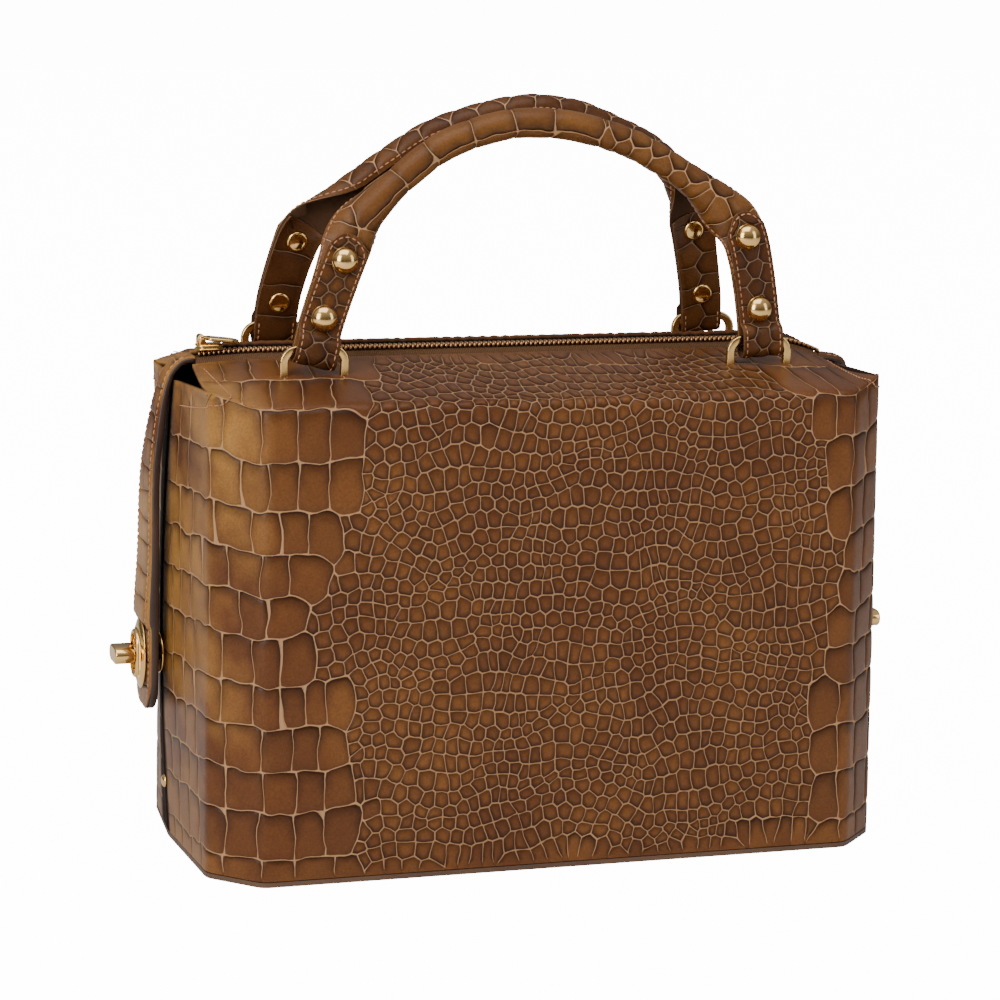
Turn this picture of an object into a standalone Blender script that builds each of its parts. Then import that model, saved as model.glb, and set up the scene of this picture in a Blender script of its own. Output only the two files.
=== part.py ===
"""Structured leather handbag with a zipped top, two rolled handles and a strap with a turn lock at each end.

Metres, +Z up. The origin is the middle of the base. X runs along the length, the front faces -Y.
Front and back are one folded leather shell each. They stand on the base panel and are joined at the
ends by folded gussets and at the top by the zip.
"""

import math

import bmesh
import bpy
import numpy as np

# Overall sizes of the body
HALF_LENGTH = 0.151
CORNER_PINCH = {"front": 0.0, "back": 0.0015}
CORNER_FLARE = {"front": 0.0, "back": 0.0035}
END_LEAN = {"left": 0.0, "right": 0.0032}
HALF_DEPTH = 0.082
BEND_HEIGHT = 0.2026
CORNER_REACH = {"front": (0.0196, 0.0196), "back": (0.0215, 0.0380)}
CORNER_ROUNDING = 0.008
FRONT_LEAN = 0.0043
LEATHER = 0.0022
FIT_GAP = 0.0003
RUNNING_GAP = 0.0001

# End panels
GROOVE_HALF = 0.0014
BOW_AT_BASE = 0.0025
BOW_RISE = 0.004
END_TOP_DROP = 0.0005
EAR_LIFT = {"front": 0.0039, "back": 0.0010}

# Top pieces and zip
FOLD_RADIUS = 0.005
EAR_FOLD_RADIUS = 0.0016
TOP_END_INSET = 0.004
TOP_EDGE_Y = {"front": 0.0095, "back": 0.0068}
TOP_EDGE_RISE = {"front": 0.0088, "back": 0.0104}
EDGE_LIFT = {"front": 0.0003, "back": 0.0032}
RIM_SAG = 0.0022
DROP_REACH = 0.032
END_DROP = {"left": 0.0015, "right": 0.0085}
TAPE_THICKNESS = 0.0009
TAPE_FLANGE = 0.009
TAPE_SAG = 0.0014
TAPE_END_INSET = 0.0025
TEETH_HEIGHT = 0.0016
TEETH_HALF_WIDTH = 0.0027
TEETH_RISE = 0.0120

# Gussets
GUSSET_THICKNESS = 0.001
GUSSET_FLANGE = 0.018
GUSSET_GAP = 0.003
GUSSET_DEPTH = 0.020
GUSSET_TOP_DROP = 0.0091

# Base panel
BASE_THICKNESS = 0.0022

# Loops that carry the handles
LOOP_X = 0.1003
LOOP_Y = 0.0344
LOOP_RISE = 0.0182
LOOP_WIDTH = 0.030
LOOP_STRIP = 0.0036
LOOP_THICKNESS = 0.0025
LOOP_BEND = 0.0075
LOOP_TAIL = 0.0035

# Handles
HANDLE_RISE = 0.0952
HANDLE_TILT = {"front": 5.0, "back": 15.0}
STRAP_WIDTH = 0.0185
STRAP_THICKNESS = 0.0022
BAR_ROOM = 0.0042
TUBE_DIAMETER = 0.0105
TAB_FOOT_DROP = 0.0078
TAB_OVER_RIVET = 0.0113
LOWER_RIVET = 0.0198

# Rivets
RIVET_HEAD = 0.0104
RIVET_DOME = 0.0040
RIVET_CAP = 0.0080
RIVET_CAP_HEIGHT = 0.0013
RIVET_SHANK = 0.0030

# End straps and turn locks
END_STRAP_WIDTH = 0.029
END_STRAP_NECK = 0.0112
END_STRAP_THICKNESS = 0.0028
END_STRAP_CROWN = 0.0006
END_STRAP_EDGE = 0.0018
END_STRAP_FOOT = 0.0585
END_STRAP_RISE = 0.0095
STRAP_CLEAR = 0.0050
LOCK_HEIGHT = 0.0830
LOCK_PLATE_HEIGHT = 0.031
LOCK_PLATE_WIDTH = 0.022
LOCK_PLATE_THICKNESS = 0.0019
LOCK_SLOT_HEIGHT = 0.0172
LOCK_SLOT_WIDTH = 0.0092
LOCK_RIM = 0.0022
LOCK_RIM_RISE = 0.0017
LOCK_BASE_DIAMETER = 0.018
LOCK_BASE_THICKNESS = 0.0012
LOCK_BARREL = 0.0074
LOCK_STEM = 0.0044
LOCK_STEM_SEAT = 0.0075
TOGGLE_LENGTH = 0.0145
TOGGLE_HEIGHT = 0.0074
TOGGLE_DEPTH = 0.0086
TOGGLE_BEVEL = 0.0010
STUD_HEIGHT = 0.0250
STUD_HEAD = 0.0056
STUD_DOME = 0.0016
STUD_SHANK = 0.0018
STUD_LENGTH = 0.0040

# Zip slider and its pull
SLIDER_END_INSET = 0.0070
SLIDER_LENGTH = 0.0120
SLIDER_WIDTH = 0.0088
SLIDER_THICKNESS = 0.0028
SLIDER_BEVEL = 0.0007
PULL_AXIS_SHIFT = 0.0036
PULL_AXIS_RISE = 0.0022
PULL_PIN = 0.0013
PULL_BARREL = 0.0034
PULL_ROOT_WIDTH = 0.0042
PULL_LENGTH = 0.0165
PULL_WIDTH = 0.0082
PULL_THICKNESS = 0.0016
EAR_THICKNESS = 0.0011
EAR_LENGTH = 0.0030

# Places that follow from the sizes above
END_TOP_HEIGHT = BEND_HEIGHT - END_TOP_DROP
TOP_EDGE_HEIGHT = {side: BEND_HEIGHT + rise for side, rise in TOP_EDGE_RISE.items()}
TEETH_TOP = BEND_HEIGHT + TEETH_RISE
GUSSET_TOP = BEND_HEIGHT - GUSSET_TOP_DROP
LOOP_TOP = BEND_HEIGHT + LOOP_RISE
END_STRAP_TOP = BEND_HEIGHT + END_STRAP_RISE
TOP_HALF_LENGTH = HALF_LENGTH - TOP_END_INSET
TAPE_HALF_LENGTH = TOP_HALF_LENGTH - TAPE_END_INSET
SLIDER_X = TAPE_HALF_LENGTH - SLIDER_END_INSET
DROP_START = TOP_HALF_LENGTH - DROP_REACH

# Rows run from the left foot to the right foot of each handle.
# Columns: place along X as a share of LOOP_X, height over the loops as a share of HANDLE_RISE.
HANDLE_LINE = {
    "front": (
        (-1.008, -0.064),
        (-0.963, 0.120),
        (-0.873, 0.374),
        (-0.815, 0.499),
        (-0.731, 0.610),
        (-0.577, 0.762),
        (-0.394, 0.895),
        (-0.161, 0.975),
        (0.017, 0.989),
        (0.203, 0.967),
        (0.425, 0.897),
        (0.597, 0.801),
        (0.735, 0.707),
        (0.851, 0.603),
        (0.944, 0.464),
        (0.998, 0.133),
        (1.008, -0.070),
    ),
    "back": (
        (-1.004, -0.076),
        (-0.998, 0.140),
        (-0.950, 0.400),
        (-0.915, 0.510),
        (-0.846, 0.590),
        (-0.707, 0.725),
        (-0.562, 0.845),
        (-0.395, 0.964),
        (-0.157, 1.051),
        (0.035, 1.084),
        (0.173, 1.070),
        (0.272, 1.048),
        (0.428, 0.980),
        (0.574, 0.907),
        (0.690, 0.815),
        (0.800, 0.670),
        (0.871, 0.487),
        (0.956, 0.162),
        (0.988, -0.072),
    ),
}

# Distance between the two rivets of each strap end
RIVET_PITCH = {
    "front_left": 0.0258,
    "front_right": 0.0320,
    "back_left": 0.0292,
    "back_right": 0.0322,
}

# How the strap rolls into a tube. Distances are counted from the upper rivet towards the arch.
# Columns: distance, turning angle in degrees, strip width as a share of the tube's round, closing share.
ROLL_TABLE = (
    (-0.020, 0.0, 0.560, 0.0),
    (0.000, 6.0, 0.560, 0.0),
    (0.006, 42.0, 0.570, 0.0),
    (0.012, 105.0, 0.600, 0.0),
    (0.018, 175.0, 0.625, 0.3),
    (0.024, 210.0, 0.615, 0.8),
    (0.029, 220.0, 0.611, 1.0),
)

# End strap seen from its side, from the zip down.
# Columns: outward place from the tape's end (0) to the hanging line (1), height from the foot (0) to
# the tape (1), width from the neck (0) to the full width (1).
END_STRAP_LINE = (
    (0.000, 1.000, 0.00),
    (0.141, 1.002, 0.00),
    (0.283, 0.995, 0.00),
    (0.419, 0.979, 0.03),
    (0.571, 0.949, 0.07),
    (0.712, 0.892, 0.18),
    (0.810, 0.833, 0.32),
    (0.900, 0.765, 0.50),
    (0.963, 0.693, 0.68),
    (0.990, 0.628, 0.82),
    (1.000, 0.530, 0.96),
    (1.000, 0.400, 1.00),
    (1.000, 0.240, 1.00),
)

COLOURS = {
    "croc_leather": ((0.235, 0.105, 0.040), 0.42, 0.0),
    "handle_leather": ((0.165, 0.070, 0.028), 0.45, 0.0),
    "gusset_leather": ((0.030, 0.016, 0.010), 0.70, 0.0),
    "base_leather": ((0.075, 0.034, 0.018), 0.60, 0.0),
    "zip_tape": ((0.170, 0.085, 0.040), 0.80, 0.0),
    "zip_teeth": ((0.420, 0.235, 0.110), 0.35, 1.0),
    "gold_metal": ((0.860, 0.620, 0.270), 0.16, 1.0),
}


def clear_scene():
    for obj in list(bpy.data.objects):
        bpy.data.objects.remove(obj, do_unlink=True)


def make_material(name):
    colour, roughness, metallic = COLOURS[name]
    material = bpy.data.materials.new(name)
    material.use_nodes = True
    shader = material.node_tree.nodes["Principled BSDF"]
    shader.inputs["Base Color"].default_value = (*colour, 1.0)
    shader.inputs["Roughness"].default_value = roughness
    shader.inputs["Metallic"].default_value = metallic
    return material


def add_object(name, points, faces, material, sharp_degrees=40.0):
    """A mesh object from points and faces, with its faces turned outwards and shaded smooth."""
    mesh = bpy.data.meshes.new(name)
    mesh.from_pydata([tuple(map(float, p)) for p in points], [], [tuple(map(int, f)) for f in faces])
    work = bmesh.new()
    work.from_mesh(mesh)
    bmesh.ops.recalc_face_normals(work, faces=work.faces)
    work.to_mesh(mesh)
    work.free()
    mesh.shade_smooth()
    mesh.set_sharp_from_angle(angle=math.radians(sharp_degrees))
    if material is not None:
        mesh.materials.append(material)
    obj = bpy.data.objects.new(name, mesh)
    bpy.context.scene.collection.objects.link(obj)
    return obj


def cut(obj, cutter):
    """Takes the cutter's volume out of the object."""
    cutter.hide_render = True
    cutter.display_type = "WIRE"
    modifier = obj.modifiers.new("Cut " + cutter.name, "BOOLEAN")
    modifier.operation = "DIFFERENCE"
    modifier.object = cutter


def loft(rings, closed=False):
    """Points and faces of a body whose cross-sections are rings of points, capped unless it closes on itself."""
    rings = np.asarray(rings, float)
    stations, around = rings.shape[:2]
    faces = []
    for i in range(stations if closed else stations - 1):
        for j in range(around):
            a = i * around + j
            b = i * around + (j + 1) % around
            shift = ((i + 1) % stations) * around
            faces.append((a, b, shift + (j + 1) % around, shift + j))
    if not closed:
        faces.append(tuple(range(around)))
        faces.append(tuple(range((stations - 1) * around, stations * around)))
    return rings.reshape(-1, 3), faces


def join_parts(parts):
    """Several (points, faces) as one, for cutters made of loose pieces."""
    points, faces, start = [], [], 0
    for part_points, part_faces in parts:
        points.extend(np.asarray(part_points))
        faces.extend([tuple(i + start for i in face) for face in part_faces])
        start += len(part_points)
    return points, faces


def turned(profile, sides):
    """Points and faces of a profile of (radius, height) rows turned round the Z axis, with both ends closed."""
    angles = np.arange(sides) * 2 * math.pi / sides
    rings = [
        np.stack([r * np.cos(angles), r * np.sin(angles), np.full(sides, z)], axis=1) for r, z in profile
    ]
    return loft(rings)


def box_between(low, high):
    x, y, z = zip(low, high)
    rings = [[(x[i], y[0], z[0]), (x[i], y[1], z[0]), (x[i], y[1], z[1]), (x[i], y[0], z[1])] for i in (0, 1)]
    return loft(rings)


def smooth_line(points, steps):
    """A Catmull-Rom curve through the points, with the given steps in each span."""
    points = np.asarray(points, float)
    padded = np.vstack([2 * points[0] - points[1], points, 2 * points[-1] - points[-2]])
    out = []
    for i in range(1, len(padded) - 2):
        p0, p1, p2, p3 = padded[i - 1 : i + 3]
        for t in np.arange(steps) / steps:
            out.append(
                0.5
                * (2 * p1 + (p2 - p0) * t + (2 * p0 - 5 * p1 + 4 * p2 - p3) * t**2 + (3 * p1 - p0 - 3 * p2 + p3) * t**3)
            )
    out.append(points[-1])
    return np.array(out)


def bow_at(height):
    """How far the end panels stand out at the groove at this height."""
    share = min(max(height / BEND_HEIGHT, 0.0), 1.0)
    return BOW_AT_BASE + BOW_RISE * math.sin(math.pi * share)


def corner_face_x(side, height):
    """Distance of an end panel's corner edge from the middle of the bag."""
    share = min(max(height / BEND_HEIGHT, 0.0), 1.0)
    return HALF_LENGTH - CORNER_PINCH[side] + CORNER_FLARE[side] * share**4


def end_face_x(height, y=0.0):
    """Distance of the end panel's outer face from the middle of the bag."""
    side = "front" if y < 0 else "back"
    corner_x = corner_face_x(side, height)
    share = abs(y) / (HALF_DEPTH - CORNER_REACH[side][1])
    return HALF_LENGTH + bow_at(height) + (corner_x - HALF_LENGTH - bow_at(height)) * share


def lean_at(end, height):
    """How far an end of the bag leans inward at a height."""
    return END_LEAN[end] * min(max(height / BEND_HEIGHT, 0.0), 1.0)


def with_lean(x, height):
    """Place along the length once the lean of its end is taken off, in step with the distance from the middle."""
    end = "left" if x < 0 else "right"
    return x * (1 - lean_at(end, height) / HALF_LENGTH)


def drop_at(x):
    """How far the zip line sinks towards the ends."""
    side = "left" if x < 0 else "right"
    share = max(abs(x) - DROP_START, 0.0) / DROP_REACH
    return END_DROP[side] * share**2


def rounded_corner(before, corner, after, radius, steps):
    """Points of a round of this radius in a corner of a plan."""
    before, corner, after = (np.asarray(p, float) for p in (before, corner, after))
    to_before = (before - corner) / np.linalg.norm(before - corner)
    to_after = (after - corner) / np.linalg.norm(after - corner)
    half = 0.5 * math.acos(max(-1.0, min(1.0, float(to_before @ to_after))))
    reach = radius / math.tan(half)
    middle = corner + (to_before + to_after) / np.linalg.norm(to_before + to_after) * radius / math.sin(half)
    first, last = corner + to_before * reach - middle, corner + to_after * reach - middle
    sweep = math.pi - 2 * half
    return [
        middle + (math.sin((1 - t) * sweep) * first + math.sin(t * sweep) * last) / math.sin(sweep)
        for t in np.arange(steps + 1) / steps
    ]


def shell_plan(half, height, end_steps=3, round_steps=3, front_steps=6):
    """Outer line of one shell in plan at a height, from the left groove to the right one, as for the front."""
    reach_x, reach_y = CORNER_REACH[half]
    lean = 1 - FRONT_LEAN / HALF_DEPTH * min(height / BEND_HEIGHT, 1.0)
    lip = (-(HALF_LENGTH + bow_at(height)), -GROOVE_HALF)
    side = (-corner_face_x(half, height), -(HALF_DEPTH - reach_y))
    front = (reach_x - HALF_LENGTH, -HALF_DEPTH)
    first = rounded_corner(lip, side, front, CORNER_ROUNDING, round_steps)
    second = rounded_corner(side, front, (0.0, -HALF_DEPTH), CORNER_ROUNDING, round_steps)
    left = [np.array(lip) + (first[0] - np.array(lip)) * t for t in np.arange(end_steps) / end_steps]
    left += first + [first[-1] + (second[0] - first[-1]) * t for t in (1 / 3, 2 / 3)] + second
    across = np.linspace(left[-1][0], -left[-1][0], front_steps + 1)[1:-1]
    line = left + [np.array((x, -HALF_DEPTH)) for x in across]
    line += [np.array((-p[0], p[1])) for p in reversed(left)]
    return np.array([(with_lean(p[0], height), p[1] * lean) for p in line])


def add_shell(side, material):
    """Front or back shell: end panels, chamfered corners, face and folded top piece in one leather sheet."""
    end_steps, round_steps = 3, 3
    tip = end_steps + round_steps - 2
    wall_shares = (0.0, 0.25, 0.5, 0.72, 0.9, 1.0)
    fold_steps = 4
    bottom = BASE_THICKNESS + FIT_GAP
    top_plan = shell_plan(side, BEND_HEIGHT)
    columns = len(top_plan)
    last_tip = columns - 1 - tip
    edge_y, edge_height = TOP_EDGE_Y[side], TOP_EDGE_HEIGHT[side]

    face_x = abs(shell_plan(side, 0.0)[tip, 0])

    # Share of the ear's lift: none along the face, all of it at the tips.
    x = np.abs(top_plan[:, 0])
    face_end = HALF_LENGTH - CORNER_REACH[side][0]
    tips = np.where(top_plan[:, 0] < 0, x[tip], x[last_tip])
    ear = np.clip((x - face_end) / (tips - face_end), 0, 1) ** 1.5

    fold = np.column_stack([top_plan, BEND_HEIGHT + EAR_LIFT[side] * ear])
    radius = FOLD_RADIUS + (EAR_FOLD_RADIUS - FOLD_RADIUS) * ear
    upright = np.sign(top_plan[:, 0]) * np.minimum(np.abs(shell_plan(side, 0.0)[:, 0]) / face_x, 1.0)
    zip_x = np.array([with_lean(v * TOP_HALF_LENGTH, BEND_HEIGHT) for v in upright])
    zip_edge = np.array([(v, -edge_y, edge_height - drop_at(v)) for v in zip_x])

    rows = []
    for share in wall_shares:
        row = []
        for c in range(columns):
            top = fold[c, 2] - radius[c]
            if c < tip or c > last_tip:
                steps = c if c < tip else columns - 1 - c
                tip_top = fold[tip, 2] - radius[tip]
                top = END_TOP_HEIGHT + (tip_top - END_TOP_HEIGHT) * steps / tip
            height = bottom + (top - bottom) * share
            row.append((*shell_plan(side, height)[c], height))
        rows.append(row)
    points = [p for row in rows for p in row]
    faces = [
        (r * columns + c, r * columns + c + 1, (r + 1) * columns + c + 1, (r + 1) * columns + c)
        for r in range(len(rows) - 1)
        for c in range(columns - 1)
    ]

    upper = range(tip, last_tip + 1)
    previous = [(len(rows) - 1) * columns + c for c in upper]
    towards = zip_edge - fold
    towards /= np.linalg.norm(towards, axis=1)[:, None]
    start = fold + towards * radius[:, None]
    wall_top = fold - np.array((0, 0, 1.0)) * radius[:, None]
    shares = [("fold", t) for t in np.arange(1, fold_steps + 1) / fold_steps]
    shares += [("slope", t) for t in (0.3, 0.6, 0.84, 0.93, 1.0)]
    for kind, t in shares:
        current = []
        for c in upper:
            if kind == "fold":
                point = (1 - t) ** 2 * wall_top[c] + 2 * t * (1 - t) * fold[c] + t**2 * start[c]
            else:
                point = start[c] + (zip_edge[c] - start[c]) * t
                rise = EDGE_LIFT[side] * (1 - ear[c]) * t**12 - RIM_SAG * ear[c] * math.sin(math.pi * t)
                point = point + np.array((0, 0, rise))
            current.append(len(points))
            points.append(tuple(point))
        faces += [
            (previous[i], previous[i + 1], current[i + 1], current[i]) for i in range(len(current) - 1)
        ]
        previous = current

    points = np.array(points)
    if side == "back":
        points[:, 1] *= -1
        faces = [face[::-1] for face in faces]
    mesh = bpy.data.meshes.new(side + "_shell")
    mesh.from_pydata(points.tolist(), [], faces)
    mesh.shade_smooth()
    mesh.set_sharp_from_angle(angle=math.radians(40))
    mesh.materials.append(material)
    obj = bpy.data.objects.new(side + "_shell", mesh)
    bpy.context.scene.collection.objects.link(obj)
    wall = obj.modifiers.new("Leather wall", "SOLIDIFY")
    wall.thickness = LEATHER
    wall.offset = -1
    wall.use_even_offset = True
    return obj


def add_base(material):
    """Base panel under both shells, with their outline."""
    outline = np.vstack([shell_plan("front", 0.0), shell_plan("back", 0.0)[::-1] * (1, -1)])
    rings = [np.column_stack([outline, np.full(len(outline), z)]) for z in (0.0, BASE_THICKNESS)]
    points, faces = loft(rings)
    return add_object("base_panel", points, faces, material)


def add_gusset(side, material):
    """Folded gusset behind the groove of one end, with a flange against the inside of each end panel."""
    sign = -1 if side == "left" else 1
    heights = np.linspace(BASE_THICKNESS + FIT_GAP, GUSSET_TOP, 5)
    seat = LEATHER + 3 * FIT_GAP + GUSSET_THICKNESS / 2
    rows = []
    for height in heights:
        at_flange = min(end_face_x(height, y) for y in (-GUSSET_FLANGE, GUSSET_FLANGE)) - seat
        at_lip = end_face_x(height, GUSSET_GAP) - seat
        inner = at_lip - GUSSET_DEPTH
        half = ((at_flange, -GUSSET_FLANGE), (at_lip, -GUSSET_GAP), (inner, -GUSSET_GAP), (inner - 0.0025, 0.0))
        line = list(half) + [(x, -y) for x, y in reversed(half[:-1])]
        rows.append([(sign * (x - lean_at(side, height)), y, height) for x, y in line])
    columns = len(rows[0])
    faces = [
        (r * columns + c, r * columns + c + 1, (r + 1) * columns + c + 1, (r + 1) * columns + c)
        for r in range(len(rows) - 1)
        for c in range(columns - 1)
    ]
    obj = add_object("gusset_" + side, [p for row in rows for p in row], faces, material)
    wall = obj.modifiers.new("Gusset wall", "SOLIDIFY")
    wall.thickness = GUSSET_THICKNESS
    wall.offset = 0
    wall.use_even_offset = True
    return obj


def zip_stations():
    half = np.linspace(DROP_START, TAPE_HALF_LENGTH, 5)
    return [with_lean(x, BEND_HEIGHT) for x in np.concatenate([-half[::-1], half])]


def add_zip_tape(material):
    """Zip tape: a flange under each top piece, rising between them to the teeth."""
    seat = LEATHER + 3 * FIT_GAP
    front_y, back_y = -TOP_EDGE_Y["front"], TOP_EDGE_Y["back"]
    front_z, back_z = TOP_EDGE_HEIGHT["front"] - seat, TOP_EDGE_HEIGHT["back"] - seat
    teeth_z = TEETH_TOP - TEETH_HEIGHT - FIT_GAP
    slope = (front_z + LEATHER - BEND_HEIGHT) / (HALF_DEPTH - TOP_EDGE_Y["front"])
    back_slope = (back_z + LEATHER - BEND_HEIGHT) / (HALF_DEPTH - TOP_EDGE_Y["back"])
    section = (
        (front_y - TAPE_FLANGE, front_z - slope * TAPE_FLANGE - TAPE_SAG),
        (front_y, front_z),
        (-TEETH_HALF_WIDTH, teeth_z),
        (TEETH_HALF_WIDTH, teeth_z),
        (back_y, back_z),
        (back_y + TAPE_FLANGE, back_z - back_slope * TAPE_FLANGE - TAPE_SAG),
    )
    ring = list(section) + [(y, z - TAPE_THICKNESS) for y, z in reversed(section)]
    rings = [[(x, y, z - drop_at(x)) for y, z in ring] for x in zip_stations()]
    points, faces = loft(rings)
    return add_object("zip_tape", points, faces, material)


def add_zip_teeth(material):
    """The closed row of teeth as one bar with sloping sides."""
    low = TEETH_TOP - TEETH_HEIGHT
    half, top_half = TEETH_HALF_WIDTH - FIT_GAP, TEETH_HALF_WIDTH * 0.6
    ring = ((-half, low), (half, low), (half, low + TEETH_HEIGHT * 0.5), (top_half, TEETH_TOP), (-top_half, TEETH_TOP))
    ring += ((-half, low + TEETH_HEIGHT * 0.5),)
    rings = [[(x, y, z - drop_at(x)) for y, z in ring] for x in zip_stations()]
    points, faces = loft(rings)
    return add_object("zip_teeth", points, faces, material)


def rounded_box_rings(half_x, half_y, low, high, bevel):
    """Rings of a block with bevelled upper and lower edges and chamfered corners, stacked in Z."""
    rings = []
    for inset, z in ((bevel, low), (0.0, low + bevel), (0.0, high - bevel), (bevel, high)):
        hx, hy = half_x - inset, half_y - inset
        c = bevel * 1.5
        plan = ((hx, -hy + c), (hx, hy - c), (hx - c, hy), (-hx + c, hy), (-hx, hy - c), (-hx, -hy + c))
        plan += ((-hx + c, -hy), (hx - c, -hy))
        rings.append([(x, y, z) for x, y in plan])
    return rings


def slider_base_height():
    return TEETH_TOP - drop_at(-SLIDER_X + SLIDER_LENGTH / 2) + FIT_GAP


def pull_axis():
    """Middle of the pin that the pull swings on."""
    height = slider_base_height() + SLIDER_THICKNESS + PULL_AXIS_RISE
    return np.array((-SLIDER_X - PULL_AXIS_SHIFT, 0.0, height))


def join(obj, other):
    """Makes the other object's volume part of this one."""
    modifier = obj.modifiers.new("Join " + other.name, "BOOLEAN")
    modifier.operation = "UNION"
    modifier.object = other
    other.hide_render = True
    other.display_type = "WIRE"


def add_zip_slider(material):
    """Slider on the teeth at the left end of the zip, with two ears and the pin that carries the pull."""
    base = slider_base_height()
    rings = rounded_box_rings(SLIDER_LENGTH / 2, SLIDER_WIDTH / 2, 0.0, SLIDER_THICKNESS, SLIDER_BEVEL)
    points, faces = loft([[(x - SLIDER_X, y, z + base) for x, y, z in ring] for ring in rings])
    body = add_object("zip_slider", points, faces, material)
    x, _, z = pull_axis()
    inner = PULL_ROOT_WIDTH / 2 + FIT_GAP
    low = base + SLIDER_THICKNESS - SLIDER_BEVEL
    for name, sign in (("front", -1), ("back", 1)):
        ear = []
        for y in (inner, inner + EAR_THICKNESS):
            arc = [(x + EAR_LENGTH / 2 * math.cos(a), z + EAR_LENGTH / 2 * math.sin(a)) for a in np.linspace(0, math.pi, 7)]
            outline = [(x + EAR_LENGTH / 2, low)] + arc + [(x - EAR_LENGTH / 2, low)]
            ear.append([(u, sign * y, v) for u, v in outline])
        points, faces = loft(ear)
        join(body, add_object("ear_" + name, points, faces, None))
    reach = inner + EAR_THICKNESS / 2
    points, faces = turned(((PULL_PIN / 2, -reach), (PULL_PIN / 2, reach)), 16)
    pin = add_object("pull_pin", [(x + p[0], p[2], z + p[1]) for p in points], faces, None)
    join(body, pin)
    return body


def add_zip_pull(material):
    """Pull with a round eye on the slider's pin. It lies over the slider and ends in a rounded tongue."""
    barrel, bore = PULL_BARREL / 2, PULL_PIN / 2 + RUNNING_GAP
    points, faces = turned(((barrel, -PULL_ROOT_WIDTH / 2), (barrel, PULL_ROOT_WIDTH / 2)), 20)
    pull = add_object("zip_pull", [(p[0], p[2], p[1]) for p in points], faces, material)
    half = PULL_THICKNESS / 2
    shoulder = barrel + EAR_LENGTH / 2
    end = PULL_LENGTH - PULL_WIDTH / 2
    inside = (bore + barrel) / 2
    root = PULL_ROOT_WIDTH * 0.45
    tongue = [(inside, -root), (barrel, -root), (shoulder, -PULL_WIDTH / 2)]
    tongue += [
        (end + PULL_WIDTH / 2 * math.cos(a), PULL_WIDTH / 2 * math.sin(a))
        for a in np.linspace(-math.pi / 2, math.pi / 2, 13)
    ]
    tongue += [(shoulder, PULL_WIDTH / 2), (barrel, root), (inside, root)]
    rings = [[(x, y, z) for x, y in tongue] for z in (-half, half)]
    points, faces = loft(rings)
    plate = add_object("pull_tongue", points, faces, None)
    join(pull, plate)
    points, faces = turned(((bore, -PULL_WIDTH), (bore, PULL_WIDTH)), 16)
    eye = add_object("pull_bore", [(p[0], p[2], p[1]) for p in points], faces, None)
    cut(pull, eye)
    for obj in (pull, plate, eye):
        obj.location = pull_axis()
    return pull


def top_surface_height(side, y):
    """Height of the top piece's outer face at a distance from the middle line, away from the ends."""
    share = (HALF_DEPTH - FRONT_LEAN - abs(y)) / (HALF_DEPTH - FRONT_LEAN - TOP_EDGE_Y[side])
    return BEND_HEIGHT + (TOP_EDGE_HEIGHT[side] - BEND_HEIGHT) * share


def loop_spine():
    """Middle line of a loop in its own plane, from one leg's top of the straight to the other's."""
    reach = (LOOP_WIDTH - LOOP_STRIP) / 2
    top = LOOP_TOP - LOOP_STRIP / 2
    bend = LOOP_BEND - LOOP_STRIP / 2
    arc = [
        (-reach + bend - bend * math.cos(a), top - bend + bend * math.sin(a))
        for a in np.linspace(0, math.pi / 2, 5)
    ]
    return arc + [(-x, z) for x, z in reversed(arc)]


def add_loop(side, end, material):
    """Flat gold strip bent to a staple, with its legs through the top piece."""
    y_sign = -1 if side == "front" else 1
    x_sign = -1 if end == "left" else 1
    foot = top_surface_height(side, LOOP_Y) - LEATHER - LOOP_TAIL
    spine = loop_spine()
    spine = np.array([(spine[0][0], foot)] + spine + [(spine[-1][0], foot)])
    rings = []
    for i, (x, z) in enumerate(spine):
        ahead = spine[min(i + 1, len(spine) - 1)] - spine[max(i - 1, 0)]
        if i in (0, len(spine) - 1):
            ahead = np.array((0.0, 1.0 if i == 0 else -1.0))
        across = np.array((ahead[1], -ahead[0])) / np.linalg.norm(ahead)
        ring = []
        for a, b in ((-1, -1), (1, -1), (1, 1), (-1, 1)):
            p = np.array((x, z)) + across * a * LOOP_STRIP / 2
            ring.append((x_sign * LOOP_X + p[0], y_sign * LOOP_Y + b * LOOP_THICKNESS / 2, p[1]))
        rings.append(ring)
    points, faces = loft(rings)
    return add_object(f"loop_{side}_{end}", points, faces, material)


def cut_loop_slots(shell, side):
    """Slots in the top piece for the legs of both loops."""
    y_sign = -1 if side == "front" else 1
    surface = top_surface_height(side, LOOP_Y)
    half_x, half_y = LOOP_STRIP / 2 + FIT_GAP, LOOP_THICKNESS / 2 + FIT_GAP
    reach = (LOOP_WIDTH - LOOP_STRIP) / 2
    boxes = []
    for loop_x in (-LOOP_X, LOOP_X):
        for leg_x in (loop_x - reach, loop_x + reach):
            low = (leg_x - half_x, y_sign * LOOP_Y - half_y, surface - 3 * LEATHER)
            high = (leg_x + half_x, y_sign * LOOP_Y + half_y, surface + 2 * LEATHER)
            boxes.append(box_between(low, high))
    points, faces = join_parts(boxes)
    cut(shell, add_object(f"slots_{side}", points, faces, None))


def handle_frame(side):
    """Origin and axes of a handle's plane: along X, up in the plane, and outwards from the bag."""
    tilt = math.radians(HANDLE_TILT[side])
    inward = 1 if side == "front" else -1
    up = np.array((0.0, inward * math.sin(tilt), math.cos(tilt)))
    outward = np.array((0.0, -inward * math.cos(tilt), math.sin(tilt)))
    bar = np.array((0.0, -inward * LOOP_Y, LOOP_TOP - LOOP_STRIP / 2))
    inner_leaf = bar - outward * (BAR_ROOM + STRAP_THICKNESS) / 2
    return inner_leaf, np.array((1.0, 0.0, 0.0)), up, outward


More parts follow.
